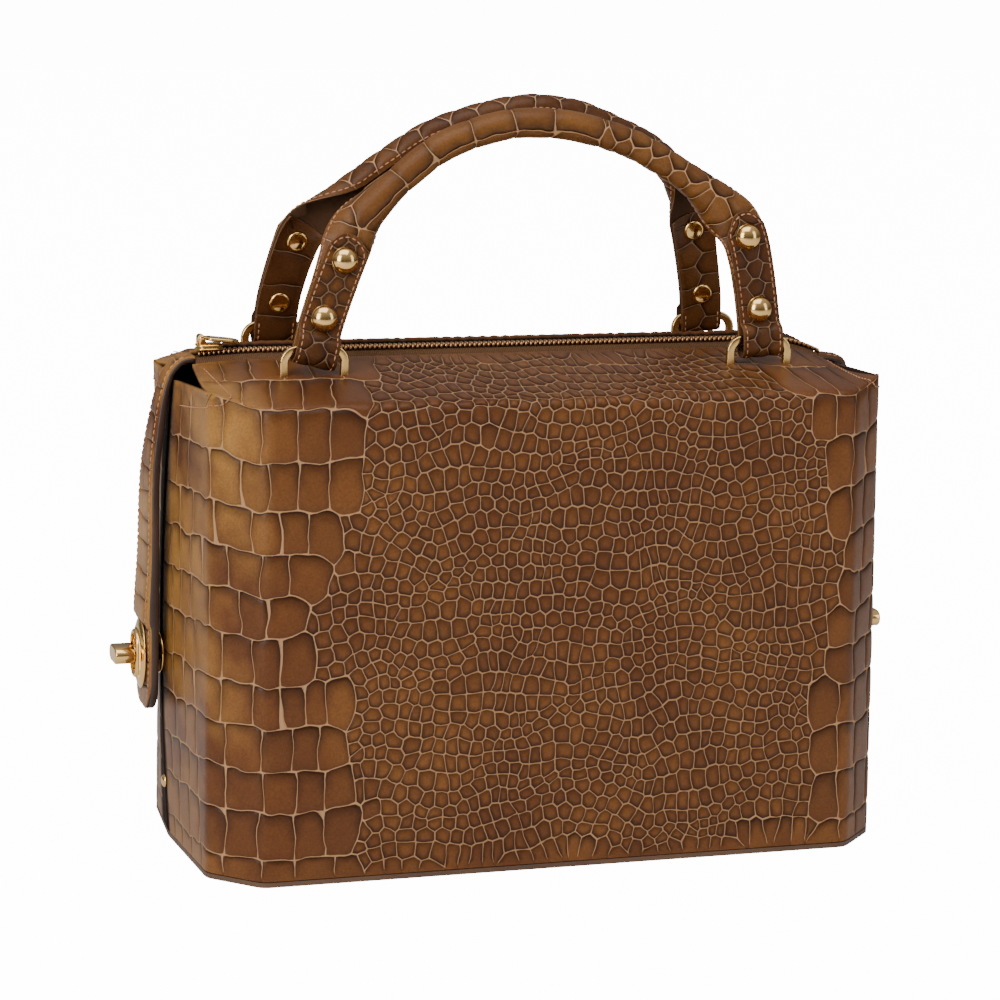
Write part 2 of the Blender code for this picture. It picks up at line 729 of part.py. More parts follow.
class HandleLine:
    """Middle line of a handle in its plane, measured by the distance from its left foot."""

    def __init__(self, side):
        shares = np.array(HANDLE_LINE[side])
        self.points = smooth_line(shares * (LOOP_X, HANDLE_RISE), 12)
        steps = np.linalg.norm(np.diff(self.points, axis=0), axis=1)
        self.distance = np.concatenate([[0.0], np.cumsum(steps)])
        self.length = self.distance[-1]

    def place(self, distance):
        return np.array([np.interp(distance, self.distance, self.points[:, k]) for k in (0, 1)])

    def ahead(self, distance):
        step = self.place(distance + 0.001) - self.place(distance - 0.001)
        return step / np.linalg.norm(step)


def strap_ring(width, turn_degrees, closing):
    """Cross-section of the strap: a flat strip that rolls up and closes to a full round tube.

    Rows are (across, outward). The outer side has 6 points and the inner side 4.
    """
    turn = math.radians(max(turn_degrees, 0.5))
    radius = width / turn
    angles = np.linspace(-turn / 2, turn / 2, 6)
    outer = np.column_stack([radius * np.sin(angles), radius * np.cos(angles) - radius])
    back = np.linspace(turn / 2, -turn / 2, 4)
    inner_radius = radius - STRAP_THICKNESS
    inner = np.column_stack([inner_radius * np.sin(back), inner_radius * np.cos(back) - radius])
    gap = np.linspace(turn / 2, 2 * math.pi - turn / 2, 6)[1:-1]
    shut = np.column_stack([radius * np.sin(gap), radius * np.cos(gap) - radius])
    inner = inner + (shut - inner) * closing
    return np.vstack([outer, inner]) + (0.0, STRAP_THICKNESS / 2)


def leaf_bend():
    """Radius of the strap's middle line where it turns round the bar of a loop."""
    return (BAR_ROOM + STRAP_THICKNESS) / 2


def outer_leaf_offset(distance):
    """How far the outer leaf stands in front of the inner one, at a distance from the strap's foot."""
    share = min(max((distance - 0.0093) / 0.0052, 0.0), 1.0)
    share = share * share * (3 - 2 * share)
    return 2 * leaf_bend() + (STRAP_THICKNESS + FIT_GAP - 2 * leaf_bend()) * share


def strap_end_stations(line, end, pitch):
    """Stations of one strap end from the tab's round top, down, round the bar and up to the rolled tube.

    Each is (place in the handle's plane, offset outwards, direction of travel, direction across, ring).
    """
    sign = 1 if end == "left" else -1
    origin = 0.0 if end == "left" else line.length
    bend = leaf_bend()
    upper = LOWER_RIVET + pitch
    top = upper + TAB_OVER_RIVET
    full = (STRAP_WIDTH, 0.0, 0.0)
    roll = np.array(ROLL_TABLE)
    rows = []

    def add(kind, value, ring):
        if kind == "turn":
            ahead = line.ahead(origin)
            up = ahead * sign
            place = line.place(origin) + up * (bend - bend * math.sin(value))
            offset = bend + bend * math.cos(value)
            travel = np.array((*(-up * math.cos(value)), -math.sin(value)))
        else:
            place, ahead = line.place(origin + sign * value), line.ahead(origin + sign * value)
            up = ahead * sign
            if kind == "outer":
                slope = (outer_leaf_offset(value + 0.0003) - outer_leaf_offset(value - 0.0003)) / 0.0006
                offset, travel = outer_leaf_offset(value), np.array((*(-up), -slope))
            else:
                offset, travel = 0.0, np.array((*up, 0.0))
        across = np.array((ahead[1], -ahead[0], 0.0))
        rows.append((place, offset, travel / np.linalg.norm(travel), across, ring))

    for degrees in (16, 36, 60, 90):
        a = math.radians(degrees)
        add("outer", top - STRAP_WIDTH / 2 * (1 - math.cos(a)), (STRAP_WIDTH * math.sin(a), 0.0, 0.0))
    for distance in ((top - STRAP_WIDTH / 2 + 0.0146) / 2, 0.0146, 0.0134, 0.0121, 0.0102, bend):
        add("outer", distance, full)
    for degrees in (35, 70, 110, 145):
        add("turn", math.radians(degrees), full)
    for distance in (bend, LOWER_RIVET):
        add("inner", distance, full)
    for offset in (0.0, 0.004, 0.008, 0.012, 0.016, 0.020, 0.024, 0.029):
        turn, share, closing = (float(np.interp(offset, roll[:, 0], roll[:, k])) for k in (1, 2, 3))
        add("inner", upper + offset, (share * math.pi * TUBE_DIAMETER, turn, closing))
    return rows, upper + roll[-1, 0]


def add_handle(side, material):
    """One handle: rolled tube, opened ends, the folds round the loops and the outer tabs, all one strap."""
    origin, along, up, outward = handle_frame(side)
    line = HandleLine(side)
    left, left_start = strap_end_stations(line, "left", RIVET_PITCH[side + "_left"])
    right, right_start = strap_end_stations(line, "right", RIVET_PITCH[side + "_right"])
    tube = (ROLL_TABLE[-1][2] * math.pi * TUBE_DIAMETER, ROLL_TABLE[-1][1], ROLL_TABLE[-1][3])
    middle = []
    for distance in np.linspace(left_start, line.length - right_start, 15)[1:-1]:
        ahead = line.ahead(distance)
        middle.append(
            (line.place(distance), 0.0, np.array((*ahead, 0.0)), np.array((ahead[1], -ahead[0], 0.0)), tube)
        )
    stations = left + middle
    for place, offset, travel, across, ring in reversed(right):
        stations.append((place, offset, -travel, across, ring))
    rings = []
    for place, offset, travel, across, (width, turn, closing) in stations:
        normal = np.cross(across, travel)
        local = [
            np.array((*place, offset)) + across * a + normal * b for a, b in strap_ring(width, turn, closing)
        ]
        rings.append([origin + p[0] * along + p[1] * up + p[2] * outward for p in local])
    points, faces = loft(rings)
    handle = add_object("handle_" + side, points, faces, material)
    holes = []
    for end in ("left", "right"):
        for level in ("lower", "upper"):
            centre, axes = rivet_place(side, end, level)
            radius = RIVET_SHANK / 2 + FIT_GAP
            points, faces = turned(((radius, -2 * STRAP_THICKNESS), (radius, 4 * STRAP_THICKNESS)), 12)
            holes.append((centre + points @ axes, faces))
    points, faces = join_parts(holes)
    cut(handle, add_object("rivet_holes_" + side, points, faces, None))
    return handle


def rivet_place(side, end, level):
    """Middle of the inner leaf at a rivet, and the rivet's axes with the outward one last."""
    origin, along, up, outward = handle_frame(side)
    line = HandleLine(side)
    distance = LOWER_RIVET + (RIVET_PITCH[f"{side}_{end}"] if level == "upper" else 0.0)
    place = line.place(distance if end == "left" else line.length - distance)
    return origin + place[0] * along + place[1] * up, np.array([along, np.cross(outward, along), outward])


def add_rivet(side, end, level, material):
    """Domed rivet through both leaves, with a flat cap on the inner side."""
    centre, axes = rivet_place(side, end, level)
    inner = -STRAP_THICKNESS / 2 - FIT_GAP
    outer = STRAP_THICKNESS * 1.5 + 2 * FIT_GAP
    cap, shank, head = RIVET_CAP / 2, RIVET_SHANK / 2, RIVET_HEAD / 2
    profile = [(0.6 * cap, inner - RIVET_CAP_HEIGHT), (cap, inner - RIVET_CAP_HEIGHT / 2), (cap, inner)]
    profile += [(shank, inner), (shank, outer), (head, outer)]
    for degrees in (15, 45, 75):
        a = math.radians(degrees)
        profile.append((head * math.cos(a), outer + RIVET_DOME * math.sin(a)))
    points, faces = turned(profile, 10)
    return add_object(f"rivet_{side}_{end}_{level}", centre + points @ axes, faces, material)


def hanging_line_x():
    """Distance of the end strap's inner face from the middle of the bag where it hangs straight."""
    return HALF_LENGTH + BOW_AT_BASE + BOW_RISE + STRAP_CLEAR


def strap_outer_x():
    return hanging_line_x() + END_STRAP_THICKNESS + END_STRAP_CROWN


def lock_rim_top_x():
    return strap_outer_x() + FIT_GAP + LOCK_PLATE_THICKNESS + LOCK_RIM_RISE


def stadium(width, height, angles):
    """Points of an upright slot outline with round ends."""
    half, straight = width / 2, (height - width) / 2
    return [(half * math.cos(a), half * math.sin(a) + math.copysign(straight, math.sin(a))) for a in angles]


def half_step_angles(count):
    return (np.arange(count) + 0.5) * 2 * math.pi / count


def add_end_strap(side, material):
    """Strap from the end of the zip down over the groove, widening to the round foot with the lock's slot."""
    sign = -1 if side == "left" else 1
    start = TAPE_HALF_LENGTH + FIT_GAP
    reach = hanging_line_x() + END_STRAP_THICKNESS / 2 - start
    rise = END_STRAP_TOP - END_STRAP_FOOT
    lowered = drop_at(sign * start)
    table = np.array(END_STRAP_LINE)
    rows = []
    for out, height, spread in table:
        z = END_STRAP_FOOT + rise * height - lowered * max(0.0, (height - 0.94) / 0.06)
        rows.append((start + reach * out, z, END_STRAP_NECK + (END_STRAP_WIDTH - END_STRAP_NECK) * min(spread, 1.0)))
    half = END_STRAP_WIDTH / 2
    for degrees in (90, 70, 52, 36, 20, 8):
        a = math.radians(degrees)
        rows.append((start + reach, END_STRAP_FOOT + half * (1 - math.cos(a)), END_STRAP_WIDTH * math.sin(a)))
    rows = np.array(rows)
    at_lock, at_top = lean_at(side, LOCK_HEIGHT), lean_at(side, BEND_HEIGHT)
    share = np.clip((rows[:, 1] - 1.3 * LOCK_HEIGHT) / (BEND_HEIGHT - 1.3 * LOCK_HEIGHT), 0, 1)
    rows[:, 0] -= at_lock + (at_top - at_lock) * share
    rings = []
    for i, (u, z, width) in enumerate(rows):
        ahead = rows[min(i + 1, len(rows) - 1), :2] - rows[max(i - 1, 0), :2]
        ahead /= np.linalg.norm(ahead)
        normal = np.array((-ahead[1], ahead[0]))
        edge = min(END_STRAP_EDGE, width * 0.3)
        t, w = END_STRAP_THICKNESS / 2, width / 2
        section = ((-w, -t), (w, -t), (w, 0), (w - edge, t), (0, t + END_STRAP_CROWN), (edge - w, t), (-w, 0))
        ring = []
        for y, n in section:
            place = np.array((u, z)) + normal * n
            ring.append((sign * place[0], y, place[1]))
        rings.append(ring)
    points, faces = loft(rings)
    strap = add_object("strap_" + side, points, faces, material)
    outline = stadium(LOCK_SLOT_WIDTH, LOCK_SLOT_HEIGHT, half_step_angles(24))
    ends = (hanging_line_x() - at_lock - 0.002, strap_outer_x() - at_lock + 0.002)
    rings = [[(sign * x, y, LOCK_HEIGHT + z) for y, z in outline] for x in ends]
    points, faces = loft(rings)
    cut(strap, add_object("strap_slot_" + side, points, faces, None))
    return strap


def lock_base_x():
    """Distance of the lock base's back face from the middle of the bag."""
    top = LOCK_HEIGHT + LOCK_BASE_DIAMETER / 2
    return end_face_x(top) + FIT_GAP


def turned_out(profile, sides, side, height):
    """A profile of (radius, distance outwards) rows turned round an axis along X at this height."""
    sign = -1 if side == "left" else 1
    points, faces = turned(profile, sides)
    return [(sign * (p[2] - lean_at(side, height)), p[0], height + p[1]) for p in points], faces


def add_lock_base(side, material):
    """Round foot plate across the groove with the hollow barrel that the toggle turns in."""
    back = lock_base_x()
    face = back + LOCK_BASE_THICKNESS
    end = lock_rim_top_x()
    bottom = end - LOCK_STEM_SEAT
    disc, barrel, bore = LOCK_BASE_DIAMETER / 2, LOCK_BARREL / 2, LOCK_STEM / 2 + RUNNING_GAP
    profile = ((disc, back), (disc, face), (barrel, face), (barrel, end), (bore, end), (bore, bottom))
    points, faces = turned_out(profile, 20, side, LOCK_HEIGHT)
    return add_object("lock_base_" + side, points, faces, material)


def add_lock_plate(side, material):
    """Oval plate on the strap with a raised rim round its upright slot."""
    sign = -1 if side == "left" else 1
    back = strap_outer_x() + FIT_GAP - lean_at(side, LOCK_HEIGHT)
    face = back + LOCK_PLATE_THICKNESS
    angles = half_step_angles(24)
    outer = np.array([(LOCK_PLATE_WIDTH / 2 * math.cos(a), LOCK_PLATE_HEIGHT / 2 * math.sin(a)) for a in angles])
    slot = np.array(stadium(LOCK_SLOT_WIDTH, LOCK_SLOT_HEIGHT, angles))
    rim = np.array(stadium(LOCK_SLOT_WIDTH + 2 * LOCK_RIM, LOCK_SLOT_HEIGHT + 2 * LOCK_RIM, angles))
    low = back + LOCK_PLATE_THICKNESS * 0.35
    section = (
        (outer, back),
        (outer, low),
        (outer * 0.5 + rim * 0.5, face - LOCK_PLATE_THICKNESS * 0.15),
        (rim, face),
        (rim * 0.8 + slot * 0.2, face + LOCK_RIM_RISE * 0.8),
        (rim * 0.5 + slot * 0.5, face + LOCK_RIM_RISE),
        (rim * 0.1 + slot * 0.9, face + LOCK_RIM_RISE * 0.7),
        (slot, back),
    )
    rings = [
        [(sign * x, line[i][0], LOCK_HEIGHT + line[i][1]) for line, x in section] for i in range(len(angles))
    ]
    points, faces = loft(rings, closed=True)
    return add_object("lock_plate_" + side, points, faces, material)


def add_lock_toggle(side, material):
    """Turning bar with its stem. It lies across the slot when locked."""
    sign = -1 if side == "left" else 1
    root = lock_rim_top_x() + FIT_GAP
    stem_end = root - LOCK_STEM_SEAT + 2 * FIT_GAP
    angles = half_step_angles(20)
    circle = [(LOCK_STEM / 2 * math.cos(a), LOCK_STEM / 2 * math.sin(a)) for a in angles]

    def bar(inset):
        half_y, half_z = TOGGLE_LENGTH / 2 - inset, TOGGLE_HEIGHT / 2 - inset
        straight = half_y - half_z
        return [(half_z * math.cos(a) + math.copysign(straight, math.cos(a)), half_z * math.sin(a)) for a in angles]

    section = ((circle, stem_end), (circle, root), (bar(TOGGLE_BEVEL * 0.5), root), (bar(0), root + TOGGLE_BEVEL))
    section += ((bar(0), root + TOGGLE_DEPTH - 1.6 * TOGGLE_BEVEL), (bar(TOGGLE_BEVEL), root + TOGGLE_DEPTH))
    rings = [[(sign * (x - root), y, z) for y, z in line] for line, x in section]
    points, faces = loft(rings)
    toggle = add_object("lock_toggle_" + side, points, faces, material)
    toggle.location = (sign * (root - lean_at(side, LOCK_HEIGHT)), 0.0, LOCK_HEIGHT)
    return toggle


def add_stud(side, material):
    """Small stud through the foot of the groove."""
    face = end_face_x(STUD_HEIGHT) + FIT_GAP
    head, shank = STUD_HEAD / 2, STUD_SHANK / 2
    profile = [(shank, face - STUD_LENGTH), (shank, face), (head, face)]
    for degrees in (15, 45, 75):
        a = math.radians(degrees)
        profile.append((head * math.cos(a), face + STUD_DOME * math.sin(a)))
    points, faces = turned_out(profile, 16, side, STUD_HEIGHT)
    return add_object("stud_" + side, points, faces, material)


def build_bag():
    clear_scene()
    paint = {name: make_material(name) for name in COLOURS}
    add_base(paint["base_leather"])
    for side in ("front", "back"):
        shell = add_shell(side, paint["croc_leather"])
        cut_loop_slots(shell, side)
    add_zip_tape(paint["zip_tape"])
    add_zip_teeth(paint["zip_teeth"])
    add_zip_slider(paint["gold_metal"])
    add_zip_pull(paint["gold_metal"])
    for end in ("left", "right"):
        add_gusset(end, paint["gusset_leather"])
        add_end_strap(end, paint["croc_leather"])
        add_lock_base(end, paint["gold_metal"])
        add_lock_plate(end, paint["gold_metal"])
        add_lock_toggle(end, paint["gold_metal"])
        add_stud(end, paint["gold_metal"])
    for side in ("front", "back"):
        add_handle(side, paint["handle_leather"])
        for end in ("left", "right"):
            add_loop(side, end, paint["gold_metal"])
            for level in ("lower", "upper"):
                add_rivet(side, end, level, paint["gold_metal"])


build_bag()
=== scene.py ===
"""The finished look of a structured handbag in crocodile-embossed leather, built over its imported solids.

Metres, +Z up, the front faces -Y. The leather is laid out flat as a field of scales, and each scale is
a small raised mesh of its own that is then laid on the bag's surface.
"""

import math

import bpy
import numpy as np
from mathutils import Matrix, Vector, kdtree


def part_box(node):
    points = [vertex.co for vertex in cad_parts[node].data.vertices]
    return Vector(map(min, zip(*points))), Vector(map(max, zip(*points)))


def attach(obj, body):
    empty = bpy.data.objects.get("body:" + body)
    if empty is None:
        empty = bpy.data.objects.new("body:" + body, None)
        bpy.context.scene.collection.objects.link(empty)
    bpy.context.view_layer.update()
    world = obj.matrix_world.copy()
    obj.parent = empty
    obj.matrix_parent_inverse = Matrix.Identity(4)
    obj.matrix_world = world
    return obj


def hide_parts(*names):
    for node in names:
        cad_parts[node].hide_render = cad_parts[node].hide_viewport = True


bl_info = {
    "name": "Embossed leather handbag",
    "version": (1, 0, 0),
    "blender": (4, 5, 0),
    "location": "View3D > Sidebar > Handbag",
    "description": "Leather, stitching, zip and metal fittings of a structured handbag",
    "category": "Object",
}

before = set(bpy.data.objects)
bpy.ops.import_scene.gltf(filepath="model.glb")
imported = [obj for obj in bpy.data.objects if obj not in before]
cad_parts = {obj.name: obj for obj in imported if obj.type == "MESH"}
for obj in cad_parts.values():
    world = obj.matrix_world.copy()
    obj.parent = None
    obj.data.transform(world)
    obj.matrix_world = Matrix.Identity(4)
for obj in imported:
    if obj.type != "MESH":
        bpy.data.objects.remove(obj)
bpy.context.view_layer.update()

# Body sizes, the same as the solids have
HALF_LENGTH = 0.151
CORNER_PINCH = {"front": 0.0, "back": 0.0015}
CORNER_FLARE = {"front": 0.0, "back": 0.0035}
END_LEAN = {"left": 0.0, "right": 0.0032}
HALF_DEPTH = 0.082
BEND_HEIGHT = 0.2026
CORNER_REACH = {"front": (0.0196, 0.0196), "back": (0.0215, 0.0380)}
CORNER_ROUNDING = 0.008
FRONT_LEAN = 0.0043
LEATHER = 0.0022
WALL_BOTTOM = 0.0025
GROOVE_HALF = 0.0014
BOW_AT_BASE = 0.0025
BOW_RISE = 0.004
END_TOP_HEIGHT = 0.2021
EAR_LIFT = {"front": 0.0039, "back": 0.0010}
FOLD_RADIUS = 0.0046
EAR_FOLD_RADIUS = 0.0006
TOP_HALF_LENGTH = 0.147
TOP_EDGE_Y = {"front": 0.0095, "back": 0.0068}
TOP_EDGE_HEIGHT = {"front": 0.2114, "back": 0.2130}
EDGE_LIFT = {"front": 0.0003, "back": 0.0032}
RIM_SAG = 0.0022
DROP_START = 0.115
DROP_REACH = 0.032
END_DROP = {"left": 0.0015, "right": 0.0085}

# Laid-out leather of one shell: height of the bend, and of the zip edge with the top piece shortened
BEND_LINE = 0.1993
TOP_SQUEEZE = 0.62
TOP_LINE = BEND_LINE + 0.0041 + TOP_SQUEEZE * 0.0638


# Sizes and colours that a user would change


def chosen(group):
    """The settings of one group, as they stand in the scene."""
    return getattr(bpy.context.scene, f"handbag_{group}")


def colour_setting(name, description, default):
    return bpy.props.FloatVectorProperty(
        name=name, description=description, default=(*default, 1.0), subtype="COLOR", size=4, min=0.0, max=1.0
    )


def length_setting(name, description, default, low, high):
    return bpy.props.FloatProperty(
        name=name, description=description, default=default, min=low, max=high, precision=5,
        subtype="DISTANCE", unit="LENGTH",
    )


def share_setting(name, description, default, high=1.0):
    return bpy.props.FloatProperty(
        name=name, description=description, default=default, min=0.0, max=high, subtype="FACTOR"
    )


def amount_setting(name, description, default, unit="NONE"):
    return bpy.props.FloatProperty(name=name, description=description, default=default, min=0.0, unit=unit)


class HANDBAG_PG_colours(bpy.types.PropertyGroup):
    """Colours of the leather, thread and metal"""

    body: colour_setting("Scales", "Main colour of the scales", (0.136, 0.0455, 0.0128))
    warm: colour_setting("Warm stains", "Colour of the warmer stains on the scales", (0.202, 0.0765, 0.0195))
    cool: colour_setting("Cool scales", "Colour of the darker scales", (0.088, 0.030, 0.0098))
    # Painted highlight: the ochre colour paints the light falling on the left corner and on the front handle
    ochre: colour_setting("Ochre corner", "Paler colour of the left corner", (0.38, 0.180, 0.044))
    groove: colour_setting("Grooves", "Colour of the pale lines between the scales", (0.385, 0.212, 0.102))
    dark: colour_setting("Scale edges", "Dark colour round the rim of each scale", (0.016, 0.0045, 0.0014))
    thread: colour_setting("Thread", "Colour of the copper stitching", (0.34, 0.14, 0.065))
    gold: colour_setting("Gold", "Colour of the metal fittings", (0.84, 0.54, 0.205))


class HANDBAG_PG_leather(bpy.types.PropertyGroup):
    """Sizes of the embossed scales"""

    scale_width: length_setting("Scale width", "Width of the small scales", 0.0057, 0.003, 0.02)
    scale_height: length_setting("Scale height", "Height of the rows of small scales", 0.0064, 0.003, 0.02)
    unevenness: length_setting("Unevenness", "How far small scales stray from their rows", 0.0007, 0.0, 0.002)
    groove_depth: share_setting("Groove depth", "Share of the usual depth of the grooves", 1.0, 2.0)
    dark_edges: share_setting("Dark edges", "Strength of the dark rim round each scale", 0.95)


class HANDBAG_PG_stitches(bpy.types.PropertyGroup):
    """Sizes of the stitching"""

    pitch: length_setting("Pitch", "Distance from stitch to stitch", 0.0029, 0.001, 0.01)
    length: length_setting("Length", "Length of one stitch", 0.0022, 0.0005, 0.01)
    thickness: length_setting("Thickness", "Thickness of the thread", 0.0006, 0.0002, 0.002)


class HANDBAG_PG_stage(bpy.types.PropertyGroup):
    """Floor, lights and camera"""

    floor: colour_setting("Floor", "Colour of the pale floor", (0.86, 0.86, 0.86))
    floor_glow: amount_setting("Floor glow", "How bright the floor looks", 14.0)
    room_glow: amount_setting("Room glow", "How bright the room looks", 14.0)
    room_light: amount_setting("Room light", "Light from overhead", 0.55)
    above: amount_setting("Above", "Power of the soft box above", 18.5, "POWER")
    left: amount_setting("Left", "Power of the left soft box", 26.0, "POWER")
    right: amount_setting("Right", "Power of the right strip", 4.8, "POWER")
    lens: bpy.props.FloatProperty(
        name="Lens", description="Focal length of the camera", default=125.81, min=20.0,
        subtype="DISTANCE_CAMERA", unit="CAMERA",
    )


GROUPS = (
    ("colours", HANDBAG_PG_colours), ("leather", HANDBAG_PG_leather),
    ("stitches", HANDBAG_PG_stitches), ("stage", HANDBAG_PG_stage),
)


# Small helpers for numbers and meshes


def smoothstep(value, low, high):
    """0 below low, 1 above high, and a smooth step between."""
    t = np.clip((np.asarray(value, float) - low) / (high - low), 0, 1)
    return t * t * (3 - 2 * t)


def unit_rows(vectors):
    """The rows of a table of vectors, each made one unit long."""
    return vectors / np.linalg.norm(vectors, axis=1)[:, None]


def distance_along(points):
    """Distance along a line from its first point to each of its points."""
    return np.concatenate([[0.0], np.cumsum(np.linalg.norm(np.diff(points, axis=0), axis=1))])


def wave_noise(u, v, scale, seed, octaves=3):
    """Smooth noise of about -1 to 1: the sum of four sine waves in turned directions for each octave.

    Each octave is 1.9 times finer and 0.6 times as strong as the one before."""
    rng = np.random.default_rng(seed)
    total = np.zeros(np.broadcast(u, v).shape)
    weight = 0.0
    for octave in range(octaves):
        size, strength = scale / 1.9**octave, 0.6**octave
        for _ in range(4):
            angle, phase = rng.uniform(0, math.tau, 2)
            reach = size * rng.uniform(0.8, 1.3)
            total += strength * np.sin(math.tau * (u * math.cos(angle) + v * math.sin(angle)) / reach + phase)
        weight += strength * 1.6
    return total / weight


def make_mesh(name, points, faces, material, smooth=True, attributes=None):
    """An object at the origin from points, faces and per-point values."""
    mesh = bpy.data.meshes.new(name)
    points = np.asarray(points, np.float32)
    sizes = np.array([len(f) for f in faces], np.int32)
    loops = np.concatenate([np.asarray(f, np.int32) for f in faces])
    mesh.vertices.add(len(points))
    mesh.vertices.foreach_set("co", points.ravel())
    mesh.loops.add(len(loops))
    mesh.loops.foreach_set("vertex_index", loops)
    mesh.polygons.add(len(sizes))
    starts = np.concatenate([[0], np.cumsum(sizes)[:-1]]).astype(np.int32)
    mesh.polygons.foreach_set("loop_start", starts)
    mesh.update(calc_edges=True)
    mesh.validate()
    if smooth:
        mesh.shade_smooth()
    for key, values in (attributes or {}).items():
        layer = mesh.attributes.new(key, "FLOAT", "POINT")
        layer.data.foreach_set("value", np.asarray(values, np.float32))
    mesh.materials.append(material)
    obj = bpy.data.objects.new(name, mesh)
    bpy.context.scene.collection.objects.link(obj)
    return obj


def grid_faces(rows, columns, wrap=False):
    """Quads of a grid of points stored row by row, closed across its columns if it wraps."""
    r = np.arange(rows - 1)[:, None]
    c = np.arange(columns if wrap else columns - 1)[None, :]
    n = (c + 1) % columns
    corners = [r * columns + c, r * columns + n, (r + 1) * columns + n, (r + 1) * columns + c]
    return np.stack(corners, axis=-1).reshape(-1, 4)


# The surface of a shell


def bend_share(height):
    """A height as a share of the bend's height, kept between 0 and 1."""
    return min(max(height / BEND_HEIGHT, 0.0), 1.0)


def bow_at(height):
    """How far the groove's lip stands out at a height: a half wave over a straight part."""
    return BOW_AT_BASE + BOW_RISE * math.sin(math.pi * bend_share(height))


def lean_factor(x, height):
    """Share of the distance from the middle that stays once an end's lean is taken off."""
    share = np.clip(height / BEND_HEIGHT, 0, 1)
    lean = np.where(x < 0, END_LEAN["left"], END_LEAN["right"]) * share
    return 1 - lean / HALF_LENGTH


def drop_at(x):
    """How far the zip line sinks towards the ends."""
    share = np.maximum(np.abs(x) - DROP_START, 0.0) / DROP_REACH
    return np.where(x < 0, END_DROP["left"], END_DROP["right"]) * share**2


def rounded_corner(before, corner, after, radius, steps):
    """Points of a round of this radius in a corner of a plan."""
    before, corner, after = (np.asarray(p, float) for p in (before, corner, after))
    to_before = (before - corner) / np.linalg.norm(before - corner)
    to_after = (after - corner) / np.linalg.norm(after - corner)
    half = 0.5 * math.acos(float(np.clip(to_before @ to_after, -1, 1)))
    reach = radius / math.tan(half)
    middle = corner + (to_before + to_after) / np.linalg.norm(to_before + to_after) * radius / math.sin(half)
    first, last = corner + to_before * reach - middle, corner + to_after * reach - middle
    sweep = math.pi - 2 * half
    t = (np.arange(steps + 1) / steps)[:, None]
    return middle + (np.sin((1 - t) * sweep) * first + np.sin(t * sweep) * last) / math.sin(sweep)


END_STEPS, ROUND_STEPS, FLAT_STEPS, FACE_STEPS = 18, 9, 6, 60
TIP_COLUMN = END_STEPS + ROUND_STEPS // 3
PLAN_COUNT = 33
WALL_ROWS, BEND_ROWS, TOP_ROWS = 49, 33, 41
# Half the height of the rows round the bend, and the leather on each side of it that its round of one
# radius takes up
BEND_ZONE, BEND_RUN = 0.006, 0.83
EAR_POWER = 1.5


def shell_plan(half, height):
    """Outer line of a shell in plan at a height: end panel, round, chamfer, round, face, and back."""
    reach_x, reach_y = CORNER_REACH[half]
    corner_x = HALF_LENGTH - CORNER_PINCH[half] + CORNER_FLARE[half] * bend_share(height) ** 4
    lip = np.array((-(HALF_LENGTH + bow_at(height)), -GROOVE_HALF))
    side = (-corner_x, -(HALF_DEPTH - reach_y))
    front = (reach_x - HALF_LENGTH, -HALF_DEPTH)
    first = rounded_corner(lip, side, front, CORNER_ROUNDING, ROUND_STEPS)
    second = rounded_corner(side, front, (0.0, -HALF_DEPTH), CORNER_ROUNDING, ROUND_STEPS)
    left = [lip + (first[0] - lip) * t for t in np.arange(END_STEPS) / END_STEPS]
    left += list(first)
    left += [first[-1] + (second[0] - first[-1]) * t for t in np.arange(1, FLAT_STEPS) / FLAT_STEPS]
    left += list(second)
    across = np.linspace(left[-1][0], -left[-1][0], FACE_STEPS + 1)[1:-1]
    line = left + [np.array((x, -HALF_DEPTH)) for x in across]
    line += [np.array((-p[0], p[1])) for p in reversed(left)]
    return np.array(line)


